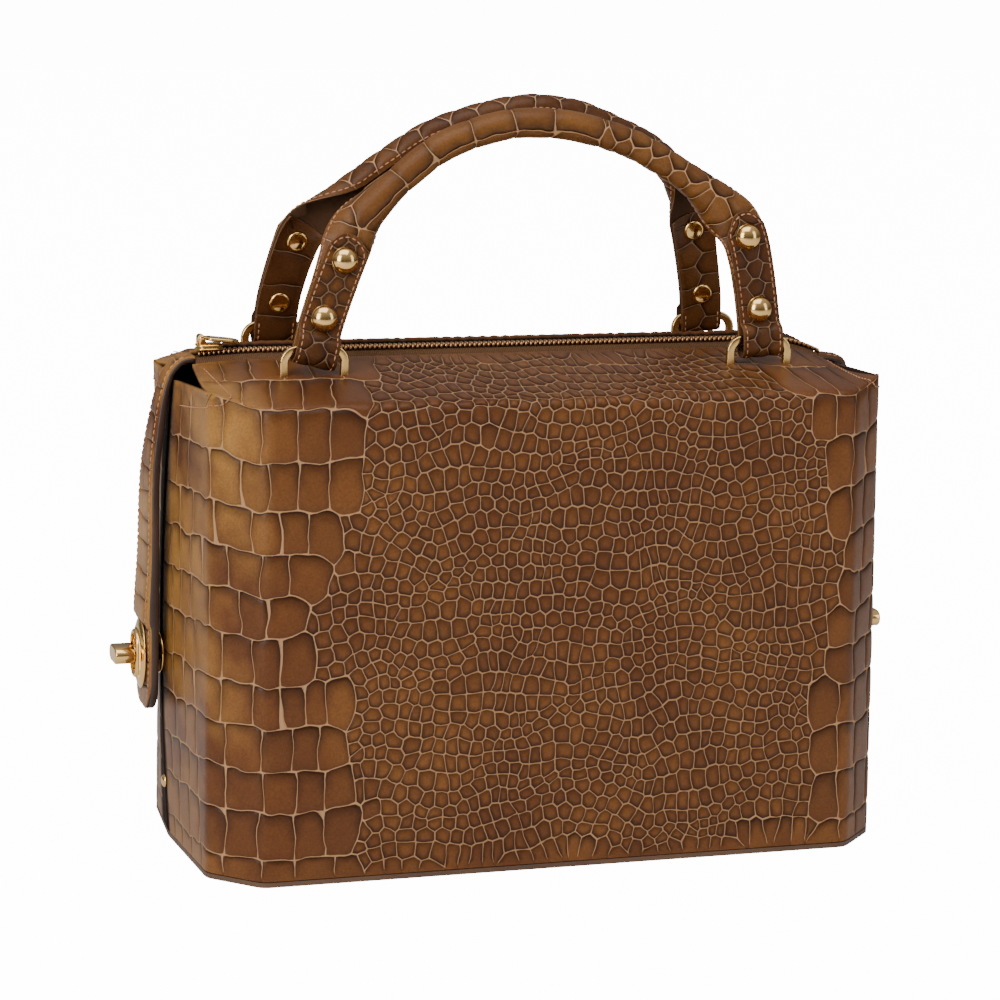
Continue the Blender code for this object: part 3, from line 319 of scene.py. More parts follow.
class ShellSurface:
    """A shell's outer face over its laid-out leather: u runs round the plan, w up the wall and over the top.

    The wall goes between plans at many heights. The bend is the curve (1-t)(1-t) wall + 2t(1-t) fold + tt
    start, and the top piece runs straight from there to the zip, apart from its sagging rim at the ears."""

    def __init__(self, half):
        self.half = half
        heights = np.linspace(0, BEND_HEIGHT, PLAN_COUNT)
        plans = np.array([shell_plan(half, z) for z in heights])
        along = distance_along(plans[-1])
        self.u = along - along[-1] / 2
        plans[:, :, 0] *= lean_factor(plans[:, :, 0], heights[:, None])
        plans[:, :, 1] *= 1 - FRONT_LEAN / HALF_DEPTH * heights[:, None] / BEND_HEIGHT
        top = plans[-1]
        columns = len(top)
        last_tip = columns - 1 - TIP_COLUMN
        self.tip = -self.u[TIP_COLUMN]
        x = np.abs(top[:, 0])
        face_end = HALF_LENGTH - CORNER_REACH[half][0]
        tips = np.where(top[:, 0] < 0, x[TIP_COLUMN], x[last_tip])
        ear = np.clip((x - face_end) / (tips - face_end), 0, 1) ** EAR_POWER
        fold = np.column_stack([top, BEND_HEIGHT + EAR_LIFT[half] * ear])
        radius = FOLD_RADIUS + (EAR_FOLD_RADIUS - FOLD_RADIUS) * ear
        face_x = abs(plans[0, TIP_COLUMN, 0])
        upright = np.sign(plans[0, :, 0]) * np.minimum(np.abs(plans[0, :, 0]) / face_x, 1.0)
        zip_x = upright * TOP_HALF_LENGTH
        zip_x = zip_x * lean_factor(zip_x, BEND_HEIGHT)
        zip_y = np.full(columns, -TOP_EDGE_Y[half])
        edge = np.column_stack([zip_x, zip_y, TOP_EDGE_HEIGHT[half] - drop_at(zip_x)])
        start = fold + unit_rows(edge - fold) * radius[:, None]
        wall_top = fold - np.array((0, 0, 1.0)) * radius[:, None]
        tip_share = np.clip((self.u[-1] - np.abs(self.u)) / (self.u[-1] - self.tip), 0, 1)
        outside = np.abs(self.u) > self.tip + 1e-9
        tip_top = wall_top[TIP_COLUMN, 2]
        panel_top = END_TOP_HEIGHT + (tip_top - END_TOP_HEIGHT) * tip_share
        wall_height = np.where(outside, panel_top, wall_top[:, 2])
        arc = np.where(outside, 0.0, radius * BEND_RUN)
        below, above = BEND_LINE - BEND_ZONE, BEND_LINE + BEND_ZONE
        rows = ((0, below, WALL_ROWS), (below, above, BEND_ROWS), (above, TOP_LINE, TOP_ROWS))
        self.w = np.unique(np.concatenate([np.linspace(*row) for row in rows]))
        w = self.w[:, None]
        wall_share = np.clip(w / (BEND_LINE - arc), 0, 1)
        z = WALL_BOTTOM + (wall_height - WALL_BOTTOM) * wall_share
        place = z / BEND_HEIGHT * (len(heights) - 1)
        low = np.clip(place.astype(int), 0, len(heights) - 2)
        share = np.clip(place - low, 0, None)[:, :, None]
        index = np.arange(columns)[None, :]
        wall = plans[low, index] * (1 - share) + plans[low + 1, index] * share
        wall = np.concatenate([wall, z[:, :, None]], axis=2)
        turn = np.clip((w - (BEND_LINE - arc)) / np.maximum(2 * arc, 1e-9), 0, 1)[:, :, None]
        bend = (1 - turn) ** 2 * wall_top + 2 * turn * (1 - turn) * fold + turn**2 * start
        rise_share = np.clip((w - (BEND_LINE + arc)) / (TOP_LINE - BEND_LINE - arc), 0, 1)
        slope = start[None] + (edge - start)[None] * rise_share[:, :, None]
        slope[:, :, 2] += EDGE_LIFT[half] * (1 - ear) * rise_share**12
        slope[:, :, 2] -= RIM_SAG * ear * np.sin(np.pi * rise_share)
        on_wall = (w <= BEND_LINE - arc) | outside[None, :]
        on_bend = ~on_wall & (w < BEND_LINE + arc)
        grid = np.where(on_wall[:, :, None], wall, np.where(on_bend[:, :, None], bend, slope))
        if half == "back":
            grid = grid * (1, -1, 1)
        self.grid = grid
        smooth = grid.copy()
        over = self.w > BEND_LINE
        ears = ((TIP_COLUMN, 1, range(TIP_COLUMN)), (last_tip, -1, range(last_tip + 1, columns)))
        for tip, step, past in ears:
            for c in past:
                smooth[over, c] = grid[over, tip] + abs(c - tip) * (grid[over, tip] - grid[over, tip + step])
        normal = np.cross(np.gradient(smooth, axis=1), np.gradient(smooth, axis=0))
        walls = np.cross(np.gradient(grid, axis=1), np.gradient(grid, axis=0))
        rows_below = np.flatnonzero(~over)
        normal[rows_below] = walls[rows_below]
        last_row = rows_below[-1] - 1
        for c in np.flatnonzero(outside):
            normal[last_row:, c] = normal[last_row, c]
        if half == "back":
            normal = -normal
        self.normal = normal / np.maximum(np.linalg.norm(normal, axis=2), 1e-12)[:, :, None]

    def sample(self, table, u, w):
        """Values of a table over the grid at laid-out places, from the four grid points round each."""
        column = np.interp(u, self.u, np.arange(len(self.u)))
        row = np.interp(w, self.w, np.arange(len(self.w)))
        c = np.clip(column.astype(int), 0, len(self.u) - 2)
        r = np.clip(row.astype(int), 0, len(self.w) - 2)
        a, b = (column - c)[:, None], (row - r)[:, None]
        low = table[r, c] * (1 - a) + table[r, c + 1] * a
        high = table[r + 1, c] * (1 - a) + table[r + 1, c + 1] * a
        return low * (1 - b) + high * b

    def place(self, u, w, height):
        """Points over laid-out places, raised by these heights along the surface's normal."""
        normal = unit_rows(self.sample(self.normal, u, w))
        return self.sample(self.grid, u, w) + normal * np.asarray(height)[:, None]


# Scales laid out flat

# Distance of a large scale's seeds from its sides, and their steps along its rows and up its sides
TILE_SIDE, TILE_STEP, TILE_RISE = 0.0011, 0.003, 0.0034
# Corners of cells that are merged into one
MERGE_REACH = 0.00035
# Seeds whose middle lines can cut a cell, and the half width of the box that it starts as
NEAREST_SEEDS, CELL_REACH = 120, 0.022

# Rows of large scales from the bottom up. Columns: upper row line, then the column lines from the zone of
# small scales out to the groove, in millimetres of laid-out leather from the middle.
LEFT_TILES = (
    (9.3, (-91.5, -100.4, -117.7, -132.0, -150.5, -166.0, -181.0, -196.0, -208.0)),
    (29.1, (-93.6, -105.4, -117.8, -134.1, -149.6, -169.7, -184.0, -199.0)),
    (46.8, (-95.3, -105.1, -117.3, -131.6, -149.2, -171.0, -183.0, -196.0, -208.0)),
    (65.7, (-97.6, -107.9, -119.0, -132.6, -149.8, -173.6, -187.0, -201.0)),
    (83.3, (-95.8, -104.7, -113.7, -124.5, -136.5, -152.4, -175.5, -190.0, -205.0)),
    (103.3, (-112.6, -124.1, -137.1, -151.5, -175.7, -189.0, -204.0)),
    (121.4, (-116.6, -130.1, -143.0, -158.6, -180.8, -194.0, -206.0)),
    (138.9, (-107.4, -121.0, -133.7, -149.0, -166.3, -182.9, -197.0, -209.0)),
    (156.8, (-102.1, -113.2, -125.2, -137.6, -156.1, -180.0, -198.2)),
    (177.0, (-93.0, -104.5, -117.4, -130.2, -143.3, -158.5, -188.9, -205.0)),
    (199.3, (-93.8, -104.3, -118.2, -133.5, -152.2, -187.4, -202.9)),
    (224.7, (-91.0, -103.1, -116.4, -129.6, -143.2)),
    (243.0, (-84.0, -97.0, -111.0, -124.0, -136.5, -149.0)),
)
RIGHT_TILES = (
    (11.0, (119.7, 129.0, 143.0, 157.0, 172.0, 187.0, 203.0)),
    (32.5, (118.0, 127.5, 141.0, 154.0, 169.0, 185.0, 202.0)),
    (52.7, (116.7, 126.5, 139.5, 156.0, 171.0, 188.0, 205.0)),
    (72.0, (114.7, 127.0, 138.0, 153.0, 168.0, 184.0, 201.0)),
    (88.5, (124.0, 136.0, 150.0, 166.0, 182.0, 197.0)),
    (103.5, (123.5, 137.0, 154.0, 170.0, 187.0, 203.0)),
    (119.5, (130.0, 141.5, 156.0, 171.0, 186.0, 201.0)),
    (138.5, (131.0, 144.0, 158.0, 173.0, 190.0, 205.0)),
    (159.5, (123.2, 131.0, 142.5, 157.0, 172.0, 187.0, 202.0)),
    (180.5, (120.7, 131.0, 144.0, 160.0, 176.0, 192.0, 207.0)),
    (199.3, (114.0, 122.4, 132.5, 146.0, 166.0, 184.0, 200.0)),
    (224.7, (104.9, 114.3, 125.0, 136.5, 148.5)),
    (243.0, (107.0, 119.0, 132.0, 145.0)),
)


# Cross lines of the top piece on the left lean inwards: height of the row line in the middle of the slope and
# the rest above it, the lean over each of them, and the ear's tip with the reach of its fading
SLOPE_ROW, SLOPE_REST = 0.2247, 0.0183
LEAN_BELOW, LEAN_ABOVE = 0.0078, 0.0028
EAR_TIP, EAR_FADE = 0.1596, 0.016


def slope_lean(u, w):
    """How far the cross lines of the top piece lean inwards on the left side, growing away from the fold."""
    first = np.clip((w - BEND_LINE) / (SLOPE_ROW - BEND_LINE), 0, 1) * LEAN_BELOW
    second = np.clip((w - SLOPE_ROW) / SLOPE_REST, 0, 1) * LEAN_ABOVE
    return (first + second) * np.clip((EAR_TIP + u) / EAR_FADE, 0, 1) * (u < 0)


def tile_seeds(rows, outer, tip):
    """Seeds in pairs on both sides of each line between large scales, so that their cells meet on the lines.

    Each seed is (u, w, number of its scale). A scale's seeds follow its sides a little way in."""
    seeds, number, low = [], 0, 0.0
    sign = 1 if outer > 0 else -1
    lattice = np.arange(81) * TILE_STEP
    for top, lines in rows:
        high = min(top / 1000, TOP_LINE)
        limit = tip if low > BEND_LINE - 0.001 else abs(outer)
        edges = [abs(line) / 1000 for line in lines if abs(line) / 1000 < limit - 0.004] + [limit]
        upright = np.linspace(low + TILE_SIDE, high - TILE_SIDE, max(2, round((high - low) / TILE_RISE)))
        for near, far in zip(edges[:-1], edges[1:]):
            across = lattice[(lattice > near + 1.6 * TILE_SIDE) & (lattice < far - 1.6 * TILE_SIDE)]
            for w in upright:
                seeds += [(sign * (near + TILE_SIDE), w, number), (sign * (far - TILE_SIDE), w, number)]
            for u in across:
                seeds += [(sign * u, low + TILE_SIDE, number), (sign * u, high - TILE_SIDE, number)]
            number += 1
        low = high
    seeds = np.array(seeds)
    seeds[:, 0] += slope_lean(seeds[:, 0], seeds[:, 1])
    return seeds


def zone_edge(rows, w):
    """Distance from the middle of the first line of the large scales at these heights."""
    tops = np.array([r[0] for r in rows]) / 1000
    edges = np.array([abs(r[1][0]) for r in rows]) / 1000
    return edges[np.clip(np.searchsorted(tops, w), 0, len(rows) - 1)]


# Small scales: place of the first one in a row, shift of every other row, reach and amount of the widening
# next to the large scales, spread of the steps, and the empty margin next to the large scales
SMALL_START, SMALL_SHIFT = 0.0036, 0.0024
SMALL_REACH, SMALL_WIDENING = 0.010, 0.0022
SMALL_SPREAD = (0.86, 1.14)
SMALL_MARGIN = 0.0026
# Waves that bend their rows: size and strength along and across
SLIDE_WAVE, SHIFT_WAVE = (0.060, 0.0022), (0.070, 0.0044)


def small_seeds(left_rows, right_rows, seed):
    """Staggered, wavy rows of seeds for the small scales, larger next to the large scales on both sides."""
    rng = np.random.default_rng(seed)
    leather = chosen("leather")
    out = []
    for i, w in enumerate(np.arange(0.003, TOP_LINE + 0.003, leather.scale_height)):
        left = -float(zone_edge(left_rows, w))
        left += float(slope_lean(np.array(left), w))
        right = float(zone_edge(right_rows, w))
        u = left + SMALL_START + (SMALL_SHIFT if i % 2 else 0.0)
        while u < right + 0.004:
            near = math.exp(-min(u - left, abs(right - u)) / SMALL_REACH)
            step = leather.scale_width + SMALL_WIDENING * near
            out.append((u, w))
            u += step * rng.uniform(*SMALL_SPREAD)
    out = np.array(out)
    shift = wave_noise(out[:, 0], out[:, 1], SHIFT_WAVE[0], seed + 1, 2) * SHIFT_WAVE[1]
    slide = wave_noise(out[:, 0], out[:, 1], SLIDE_WAVE[0], seed + 2, 2) * SLIDE_WAVE[1]
    jitter = rng.uniform(-1, 1, out.shape) * (1.0, 0.9) * leather.unevenness
    u, w = (np.column_stack([out[:, 0] + slide, out[:, 1] + shift]) + jitter).T
    left = -zone_edge(left_rows, w)
    left = left + slope_lean(left, w)
    keep = (u > left + SMALL_MARGIN) & (u < zone_edge(right_rows, w) - SMALL_MARGIN)
    keep &= (w > 0.0012) & (w < TOP_LINE - 0.0010)
    return np.column_stack([u, w])[keep]


def clip_polygon(polygon, normal_x, normal_y, offset):
    """The part of a convex polygon where normal . p <= offset."""
    out = []
    count = len(polygon)
    side = [x * normal_x + y * normal_y - offset for x, y in polygon]
    for i in range(count):
        j = (i + 1) % count
        if side[i] <= 0:
            out.append(polygon[i])
        if (side[i] < 0 < side[j]) or (side[j] < 0 < side[i]):
            t = side[i] / (side[i] - side[j])
            (ax, ay), (bx, by) = polygon[i], polygon[j]
            out.append((ax + (bx - ax) * t, ay + (by - ay) * t))
    return out


def cells_of(seeds, low, high, limits=None):
    """The cell of points nearest to each seed: a box cut by the middle lines towards the seeds round it.

    limits gives further cutting lines (normal_x, normal_y, offset) for a seed's own cell."""
    tree = kdtree.KDTree(len(seeds))
    for i, (u, w) in enumerate(seeds):
        tree.insert((u, w, 0.0), i)
    tree.balance()
    cells = []
    for i, (u, w) in enumerate(seeds):
        x0, x1 = max(low[0], u - CELL_REACH), min(high[0], u + CELL_REACH)
        y0, y1 = max(low[1], w - CELL_REACH), min(high[1], w + CELL_REACH)
        polygon = [(x0, y0), (x1, y0), (x1, y1), (x0, y1)]
        for normal_x, normal_y, offset in limits(u, w) if limits else ():
            polygon = clip_polygon(polygon, normal_x, normal_y, offset)
        for _, j, distance in tree.find_n((u, w, 0.0), NEAREST_SEEDS):
            if j == i or distance < 1e-9:
                continue
            far = max((x - u) ** 2 + (y - w) ** 2 for x, y in polygon)
            if distance * distance > 4 * far:
                break
            dx, dy = seeds[j][0] - u, seeds[j][1] - w
            offset = dx * (u + dx / 2) + dy * (w + dy / 2)
            polygon = clip_polygon(polygon, dx, dy, offset)
            if len(polygon) < 3:
                break
        cells.append(polygon)
    return cells


def outlines_of(cells, labels, corners=(), merge=MERGE_REACH):
    """Merged corner points, and one closed outline of them for each scale, from the cells of its seeds."""
    flat = [p for cell in cells for p in cell] + list(corners)
    tree = kdtree.KDTree(len(flat))
    for i, (x, y) in enumerate(flat):
        tree.insert((x, y, 0.0), i)
    tree.balance()
    owner = [-1] * len(flat)
    order = list(range(len(flat) - len(corners), len(flat))) + list(range(len(flat) - len(corners)))
    points = []
    for i in order:
        if owner[i] >= 0:
            continue
        for _, j, _ in tree.find_range((*flat[i], 0.0), merge):
            if owner[j] < 0:
                owner[j] = len(points)
        points.append(flat[i])
    forward, at = {}, 0
    for cell, label in zip(cells, labels):
        ids = [owner[at + k] for k in range(len(cell))]
        at += len(cell)
        ids = [v for k, v in enumerate(ids) if v != ids[k - 1]]
        if len(ids) < 3:
            continue
        edges = forward.setdefault(label, set())
        for a, b in zip(ids, ids[1:] + ids[:1]):
            if (b, a) in edges:
                edges.discard((b, a))
            else:
                edges.add((a, b))
    outlines = {}
    for label, edges in forward.items():
        following = {}
        for a, b in edges:
            following.setdefault(a, []).append(b)
        traced = []
        while following:
            start = next(iter(following))
            loop, here = [], start
            while here in following:
                loop.append(here)
                ahead = following[here].pop()
                if not following[here]:
                    del following[here]
                here = ahead
            traced.append(loop)
        traced.sort(key=len)
        best = traced.pop()
        while True:
            other = next((loop for loop in traced if set(loop) & set(best)), None)
            if other is None:
                break
            traced.remove(other)
            shared = next(v for v in other if v in best)
            i, j = best.index(shared), other.index(shared)
            best = best[:i] + other[j:] + other[:j] + best[i:]
        if len(best) >= 3:
            outlines[label] = best
    points = np.array(points)
    for corner in corners:
        found = tree.find((*corner, 0.0))[1]
        vertex = owner[found]
        for label, loop in outlines.items():
            if vertex in loop:
                continue
            a = points[loop]
            b = points[loop[1:] + loop[:1]]
            span = b - a
            length = np.maximum((span**2).sum(1), 1e-18)
            t = ((np.array(corner) - a) * span).sum(1) / length
            gap = np.linalg.norm(a + span * np.clip(t, 0, 1)[:, None] - corner, axis=1)
            hit = np.where((gap < 5e-6) & (t > 0) & (t < 1))[0]
            if len(hit):
                loop.insert(int(hit[0]) + 1, vertex)
    return points, outlines


# Height of a scale's rings in millimetres: distance in from the middle of the groove, height, groove share,
# dark share, power of the corner's rounding
SCALE_RINGS = (
    (0.00, -0.45, 1.00, 0.0, 0),
    (0.13, -0.42, 0.70, 0.35, 26),
    (0.33, -0.24, 0.00, 1.0, 16),
    (1.00, 0.02, 0.00, 0.56, 7),
)
# Rings on a scale's crown: share of the last ring's radius, height in millimetres, dark share
CROWN = {
    "small": ((0.50, 0.20, 0.05), (0.0, 0.24, 0.0)),
    "large": ((0.80, 0.10, 0.14), (0.52, 0.17, 0.02), (0.26, 0.20, 0.0), (0.0, 0.21, 0.0)),
}


def convex_hull(points, tolerance=0.00022):
    """Corners of the convex outline round flat points, counter-clockwise, without its flattest corners."""
    ordered = sorted(set(map(tuple, points)))
    halves = []
    for line in (ordered, ordered[::-1]):
        chain = []
        for p in line:
            while len(chain) > 1:
                (ax, ay), (bx, by) = chain[-2], chain[-1]
                if (bx - ax) * (p[1] - ay) - (by - ay) * (p[0] - ax) > 1e-12:
                    break
                chain.pop()
            chain.append(p)
        halves.append(chain[:-1])
    hull = [np.array(p) for p in halves[0] + halves[1]]
    while len(hull) > 4:
        depths = []
        for before, p, after in zip(hull[-1:] + hull[:-1], hull, hull[1:] + hull[:1]):
            chord = after - before
            depths.append(abs(np.cross(chord, p - before)) / max(np.linalg.norm(chord), 1e-9))
        weakest = int(np.argmin(depths))
        if depths[weakest] > tolerance:
            break
        hull.pop(weakest)
    return np.array(hull)


def straighten(points, outlines, corners, rounds=14):
    """Evens the lines between large scales: a point with two neighbours moves towards their middle."""
    near = {}
    for loop in outlines.values():
        for a, b in zip(loop, loop[1:] + loop[:1]):
            near.setdefault(a, set()).add(b)
            near.setdefault(b, set()).add(a)
    middle = np.array([v for v, others in near.items() if len(others) == 2])
    pairs = np.array([list(near[v]) for v in middle])
    low, high = points.min(0), points.max(0)
    place = points[middle]
    rim = (np.abs(place - low) < 2e-6) | (np.abs(place - high) < 2e-6)
    turned = np.abs(np.cross(points[pairs[:, 0]] - place, points[pairs[:, 1]] - place)) > 2e-9
    fixed = rim.any(1) & turned
    for corner in corners:
        fixed |= np.linalg.norm(place - corner, axis=1) < 5e-4
    middle, pairs = middle[~fixed], pairs[~fixed]
    points = points.copy()
    for _ in range(rounds):
        points[middle] = 0.5 * points[middle] + 0.25 * (points[pairs[:, 0]] + points[pairs[:, 1]])
    return points


def rim_points(outlines):
    """The points on the rim of a whole sheet of scales."""
    directed = {(a, b) for loop in outlines.values() for a, b in zip(loop, loop[1:] + loop[:1])}
    return {v for a, b in directed if (b, a) not in directed for v in (a, b)}


# Areas under which a scale counts as a sliver, and over which it counts as large
SLIVER_AREA, LARGE_AREA = 1.5e-6, 6.5e-5
# Distance of a scale's sides from its centre at which the rings have their full widths
FULL_RINGS = 0.0021
# Tone of the grooves round small scales, and height of the rim where the leather ends, in millimetres
SMALL_GROOVE, BORDER_HEIGHT = 0.70, -0.10


def divided_outlines(points, outlines, step, rim):
    """All points with those that divide the outlines' sides into steps, the divided outlines, and the points
    added on the rim. A side that two scales share is divided once."""
    between, along_rim = {}, set()
    place = [tuple(p) for p in points]
    loops = {label: [] for label in outlines}
    for label, loop in outlines.items():
        for a, b in zip(loop, loop[1:] + loop[:1]):
            key = (min(a, b), max(a, b))
            if key not in between:
                pa, pb = points[key[0]], points[key[1]]
                count = max(1, int(round(np.linalg.norm(pb - pa) / step)))
                between[key] = list(range(len(place), len(place) + count - 1))
                place += [tuple(pa + (pb - pa) * k / count) for k in range(1, count)]
                if rim is not None and key[0] in rim and key[1] in rim:
                    along_rim.update(between[key])
            loops[label] += [a, *(between[key] if a == key[0] else between[key][::-1])]
    return np.array(place), loops, along_rim


def centre_of(outline):
    """Centre and area of a closed outline, from the sum of its triangles (x y' - x' y) / 2."""
    ahead = np.roll(outline, -1, axis=0)
    cross = outline[:, 0] * ahead[:, 1] - ahead[:, 0] * outline[:, 1]
    area = cross.sum() / 2
    if area < SLIVER_AREA:
        return outline.mean(0), area
    return ((outline + ahead) * cross[:, None]).sum(0) / (6 * area), area


def raise_scales(points, outlines, step, large_area=LARGE_AREA, seed=1, depth=1.0, rim=None, edge_groove=0.0):
    """Builds every scale on flat leather from its outline.

    Rings run in from the outline. A ring's distance from the centre is a soft minimum over the outline's
    sides: (sum of (side's share of the direction / its distance less the inset) ** p) ** (-1 / p).
    Returns u and w, height, groove, dark, tint, faces, the divided outlines, the edges on the border, and
    the number of points on the outlines.
    """
    rng = np.random.default_rng(seed)
    deep = chosen("leather").groove_depth
    place, loops, along_rim = divided_outlines(points, outlines, step, rim)
    directed = {(a, b) for loop in loops.values() for a, b in zip(loop, loop[1:] + loop[:1])}
    border = [(a, b) for a, b in directed if (b, a) not in directed]
    on_border = {v for edge in border for v in edge}
    if rim is not None:
        on_border &= set(rim) | along_rim
    count = total = len(place)
    inner_points = np.array([v not in on_border for v in range(count)])
    base_groove = np.zeros(count)
    columns = {"p": [place], "h": [np.where(inner_points, SCALE_RINGS[0][1], BORDER_HEIGHT)]}
    columns |= {"g": [base_groove], "d": [np.zeros(count)], "t": [np.full(count, 0.5)]}
    faces = []

    def add_ring(before, flat, **values):
        """Adds points and the faces between them and the ring before. A single point closes the scale."""
        nonlocal total
        ids = np.arange(total, total + len(flat))
        total += len(flat)
        columns["p"].append(flat)
        for key, value in values.items():
            columns[key].append(np.broadcast_to(value, len(flat)))
        inner = [np.roll(ids, -1), ids] if len(flat) > 1 else [np.full(len(before), ids[0])]
        faces.append(np.column_stack([before, np.roll(before, -1), *inner]))
        return ids

    for label, full in loops.items():
        outline = points[outlines[label]]
        centre, area = centre_of(outline)
        large = area > large_area
        outline = convex_hull(outline)
        span = np.roll(outline, -1, axis=0) - outline
        length = np.maximum(np.linalg.norm(span, axis=1), 1e-9)
        normals = np.column_stack([span[:, 1], -span[:, 0]]) / length[:, None]
        inside = 2 * abs(area) / length.sum()
        away = np.maximum(((outline - centre) * normals).sum(1), 0.45 * inside)
        reach = np.linalg.norm(place[full] - centre, axis=1)
        direction = (place[full] - centre) / np.maximum(reach, 1e-9)[:, None]
        facing = np.clip(direction @ normals.T, 0, None)
        edge = ~inner_points[full]
        tint = rng.uniform(0, 1)
        tone = np.where(edge, edge_groove, 1.0 if large else SMALL_GROOVE)
        base_groove[full] = np.maximum(base_groove[full], tone)
        squeeze = min(1.0, inside / FULL_RINGS)
        last = np.array(full)
        for inset, height, groove, dark, power in SCALE_RINGS[1:]:
            room = np.maximum(away - inset * squeeze / 1000, 0.25 * away)
            radius = ((facing / room) ** power).sum(1) ** (-1 / power)
            radius = np.minimum(radius, np.maximum(reach - 0.9 * inset * squeeze / 1000, 0.3 * reach))
            # Painted shade: the dark rim is made darker on one side of each scale, the upper side of a large
            # one and the lower left of a small one
            if large:
                upper = 0.60 + 0.48 * direction[:, 1]
            else:
                upper = 0.82 - 0.14 * direction[:, 1] - 0.08 * direction[:, 0]
            raised = height * (1 if height > 0 else depth * deep)
            last = add_ring(
                last, centre + direction * radius[:, None], h=np.where(edge, -0.04 + 0.05 * inset, raised),
                g=np.where(edge, 0.0, groove), d=np.where(edge, 0.0, dark * upper), t=tint,
            )
        for share, height, dark in CROWN["large" if large else "small"]:
            flat = centre[None]
            if share > 0:
                flat = centre + direction * (radius * share)[:, None]
                # Painted shade: the dark ring of the crown grows darker towards the scale's upper side
                dark = dark * np.clip(1.0 + 1.6 * direction[:, 1], 0.0, None)
            last = add_ring(last, flat, h=height, g=0.0, d=dark, t=tint)
    field = {key: np.concatenate(values) for key, values in columns.items()}
    return field | {"faces": faces, "loops": loops, "border": border, "count": count}


def close_underside(field, thickness):
    """Adds the flesh side below every scale and the cut edge round the border, which close the leather.

    The thickness is in millimetres, as the heights of a field are."""
    outer, count = field["p"], field["count"]
    total = len(outer)
    ids = np.arange(total, total + count)
    loops = [np.array(loop) for loop in field["loops"].values()]
    faces = list(field["faces"])
    for k, loop in enumerate(loops):
        under = ids[loop]
        faces.append(np.column_stack([np.roll(under, -1), under, np.full(len(loop), total + count + k)]))
    edges = np.array(field["border"])
    faces.append(np.column_stack([edges[:, 1], edges[:, 0], ids[edges[:, 0]], ids[edges[:, 1]]]))
    added = count + len(loops)
    field["p"] = np.concatenate([outer, outer[:count], [outer[loop].mean(0) for loop in loops]])
    field["h"] = np.concatenate([field["h"], np.full(added, -thickness)])
    for key in ("g", "d", "t"):
        field[key] = np.concatenate([field[key], np.zeros(added)])
    field["under"] = np.concatenate([np.zeros(total), np.ones(added)])
    field["faces"] = faces
    return field


def leather_object(name, field, surface_place, finish, flip=False):
    """Lays a field of scales on a surface and drops the points that no face uses."""
    points = surface_place(field["p"][:, 0], field["p"][:, 1], field["h"])
    used = np.zeros(len(points), bool)
    for block in field["faces"]:
        used[block.ravel()] = True
    index = np.cumsum(used) - 1
    faces = [face for block in field["faces"] for face in (index[block][:, ::-1] if flip else index[block])]
    keys = {"groove": "g", "dark": "d", "tint": "t", "under": "under"}
    values = {attribute: field[key][used] for attribute, key in keys.items()}
    return make_mesh(name, points[used], faces, finish, attributes=values)


# Materials


class Nodes:
    """Short ways to add and link the nodes of one tree."""

    def __init__(self, tree):
        self.tree = tree

    def add(self, kind, inputs=None, **properties):
        """A node with its inputs, values or linked sockets, by name or number, and its plain properties."""
        node = self.tree.nodes.new(kind)
        for key, value in properties.items():
            setattr(node, key, value)
        for key, value in (inputs or {}).items():
            if isinstance(value, bpy.types.NodeSocket):
                self.tree.links.new(value, node.inputs[key])
            else:
                node.inputs[key].default_value = value
        return node

    def link(self, output, target):
        self.tree.links.new(output, target)

    def place(self):
        return self.add("ShaderNodeTexCoord").outputs["Object"]

    def attribute(self, name):
        return self.add("ShaderNodeAttribute", attribute_name=name).outputs["Fac"]

    def noise(self, place, scale, detail, roughness=0.5):
        inputs = {"Vector": place, "Scale": scale, "Detail": detail, "Roughness": roughness}
        return self.add("ShaderNodeTexNoise", inputs).outputs["Fac"]

    def math(self, operation, *values):
        return self.add("ShaderNodeMath", dict(enumerate(values)), operation=operation).outputs[0]

    def ramp(self, value, low, high, start=0.0, end=1.0):
        """The start where the value is low, the end where it is high, and a straight line between them."""
        return self.add("ShaderNodeMapRange", {0: value, 1: low, 2: high, 3: start, 4: end}).outputs[0]

    def mix(self, share, first, second):
        """The first colour turned into the second by a share."""
        return self.add("ShaderNodeMix", {0: share, 6: first, 7: second}, data_type="RGBA").outputs[2]

    def bump(self, height, distance):
        inputs = {"Height": height, "Distance": distance, "Strength": 0.8}
        return self.add("ShaderNodeBump", inputs).outputs[0]

    def grain(self, stain_size):
        """The outputs of the leather grain group, which is built the first time."""
        tree = bpy.data.node_groups.get("Leather grain") or leather_grain_group()
        return self.add("ShaderNodeGroup", {"Stain size": stain_size}, node_tree=tree).outputs


# Amount of the leather's shine, and the painted highlight of paler ochre on the left corner, where the left
# light falls:
# where it starts and is full along X, and its share at two heights
LEATHER_SHINE = 0.17
CORNER_HIGHLIGHT_ACROSS = (-0.127, -0.149)
CORNER_HIGHLIGHT_HEIGHTS, CORNER_HIGHLIGHT_SHARES = (0.04, 0.17), (0.5, 1.0)
STAIN_SIZE = 22.0
WHITE = (1.0, 1.0, 1.0, 1.0)


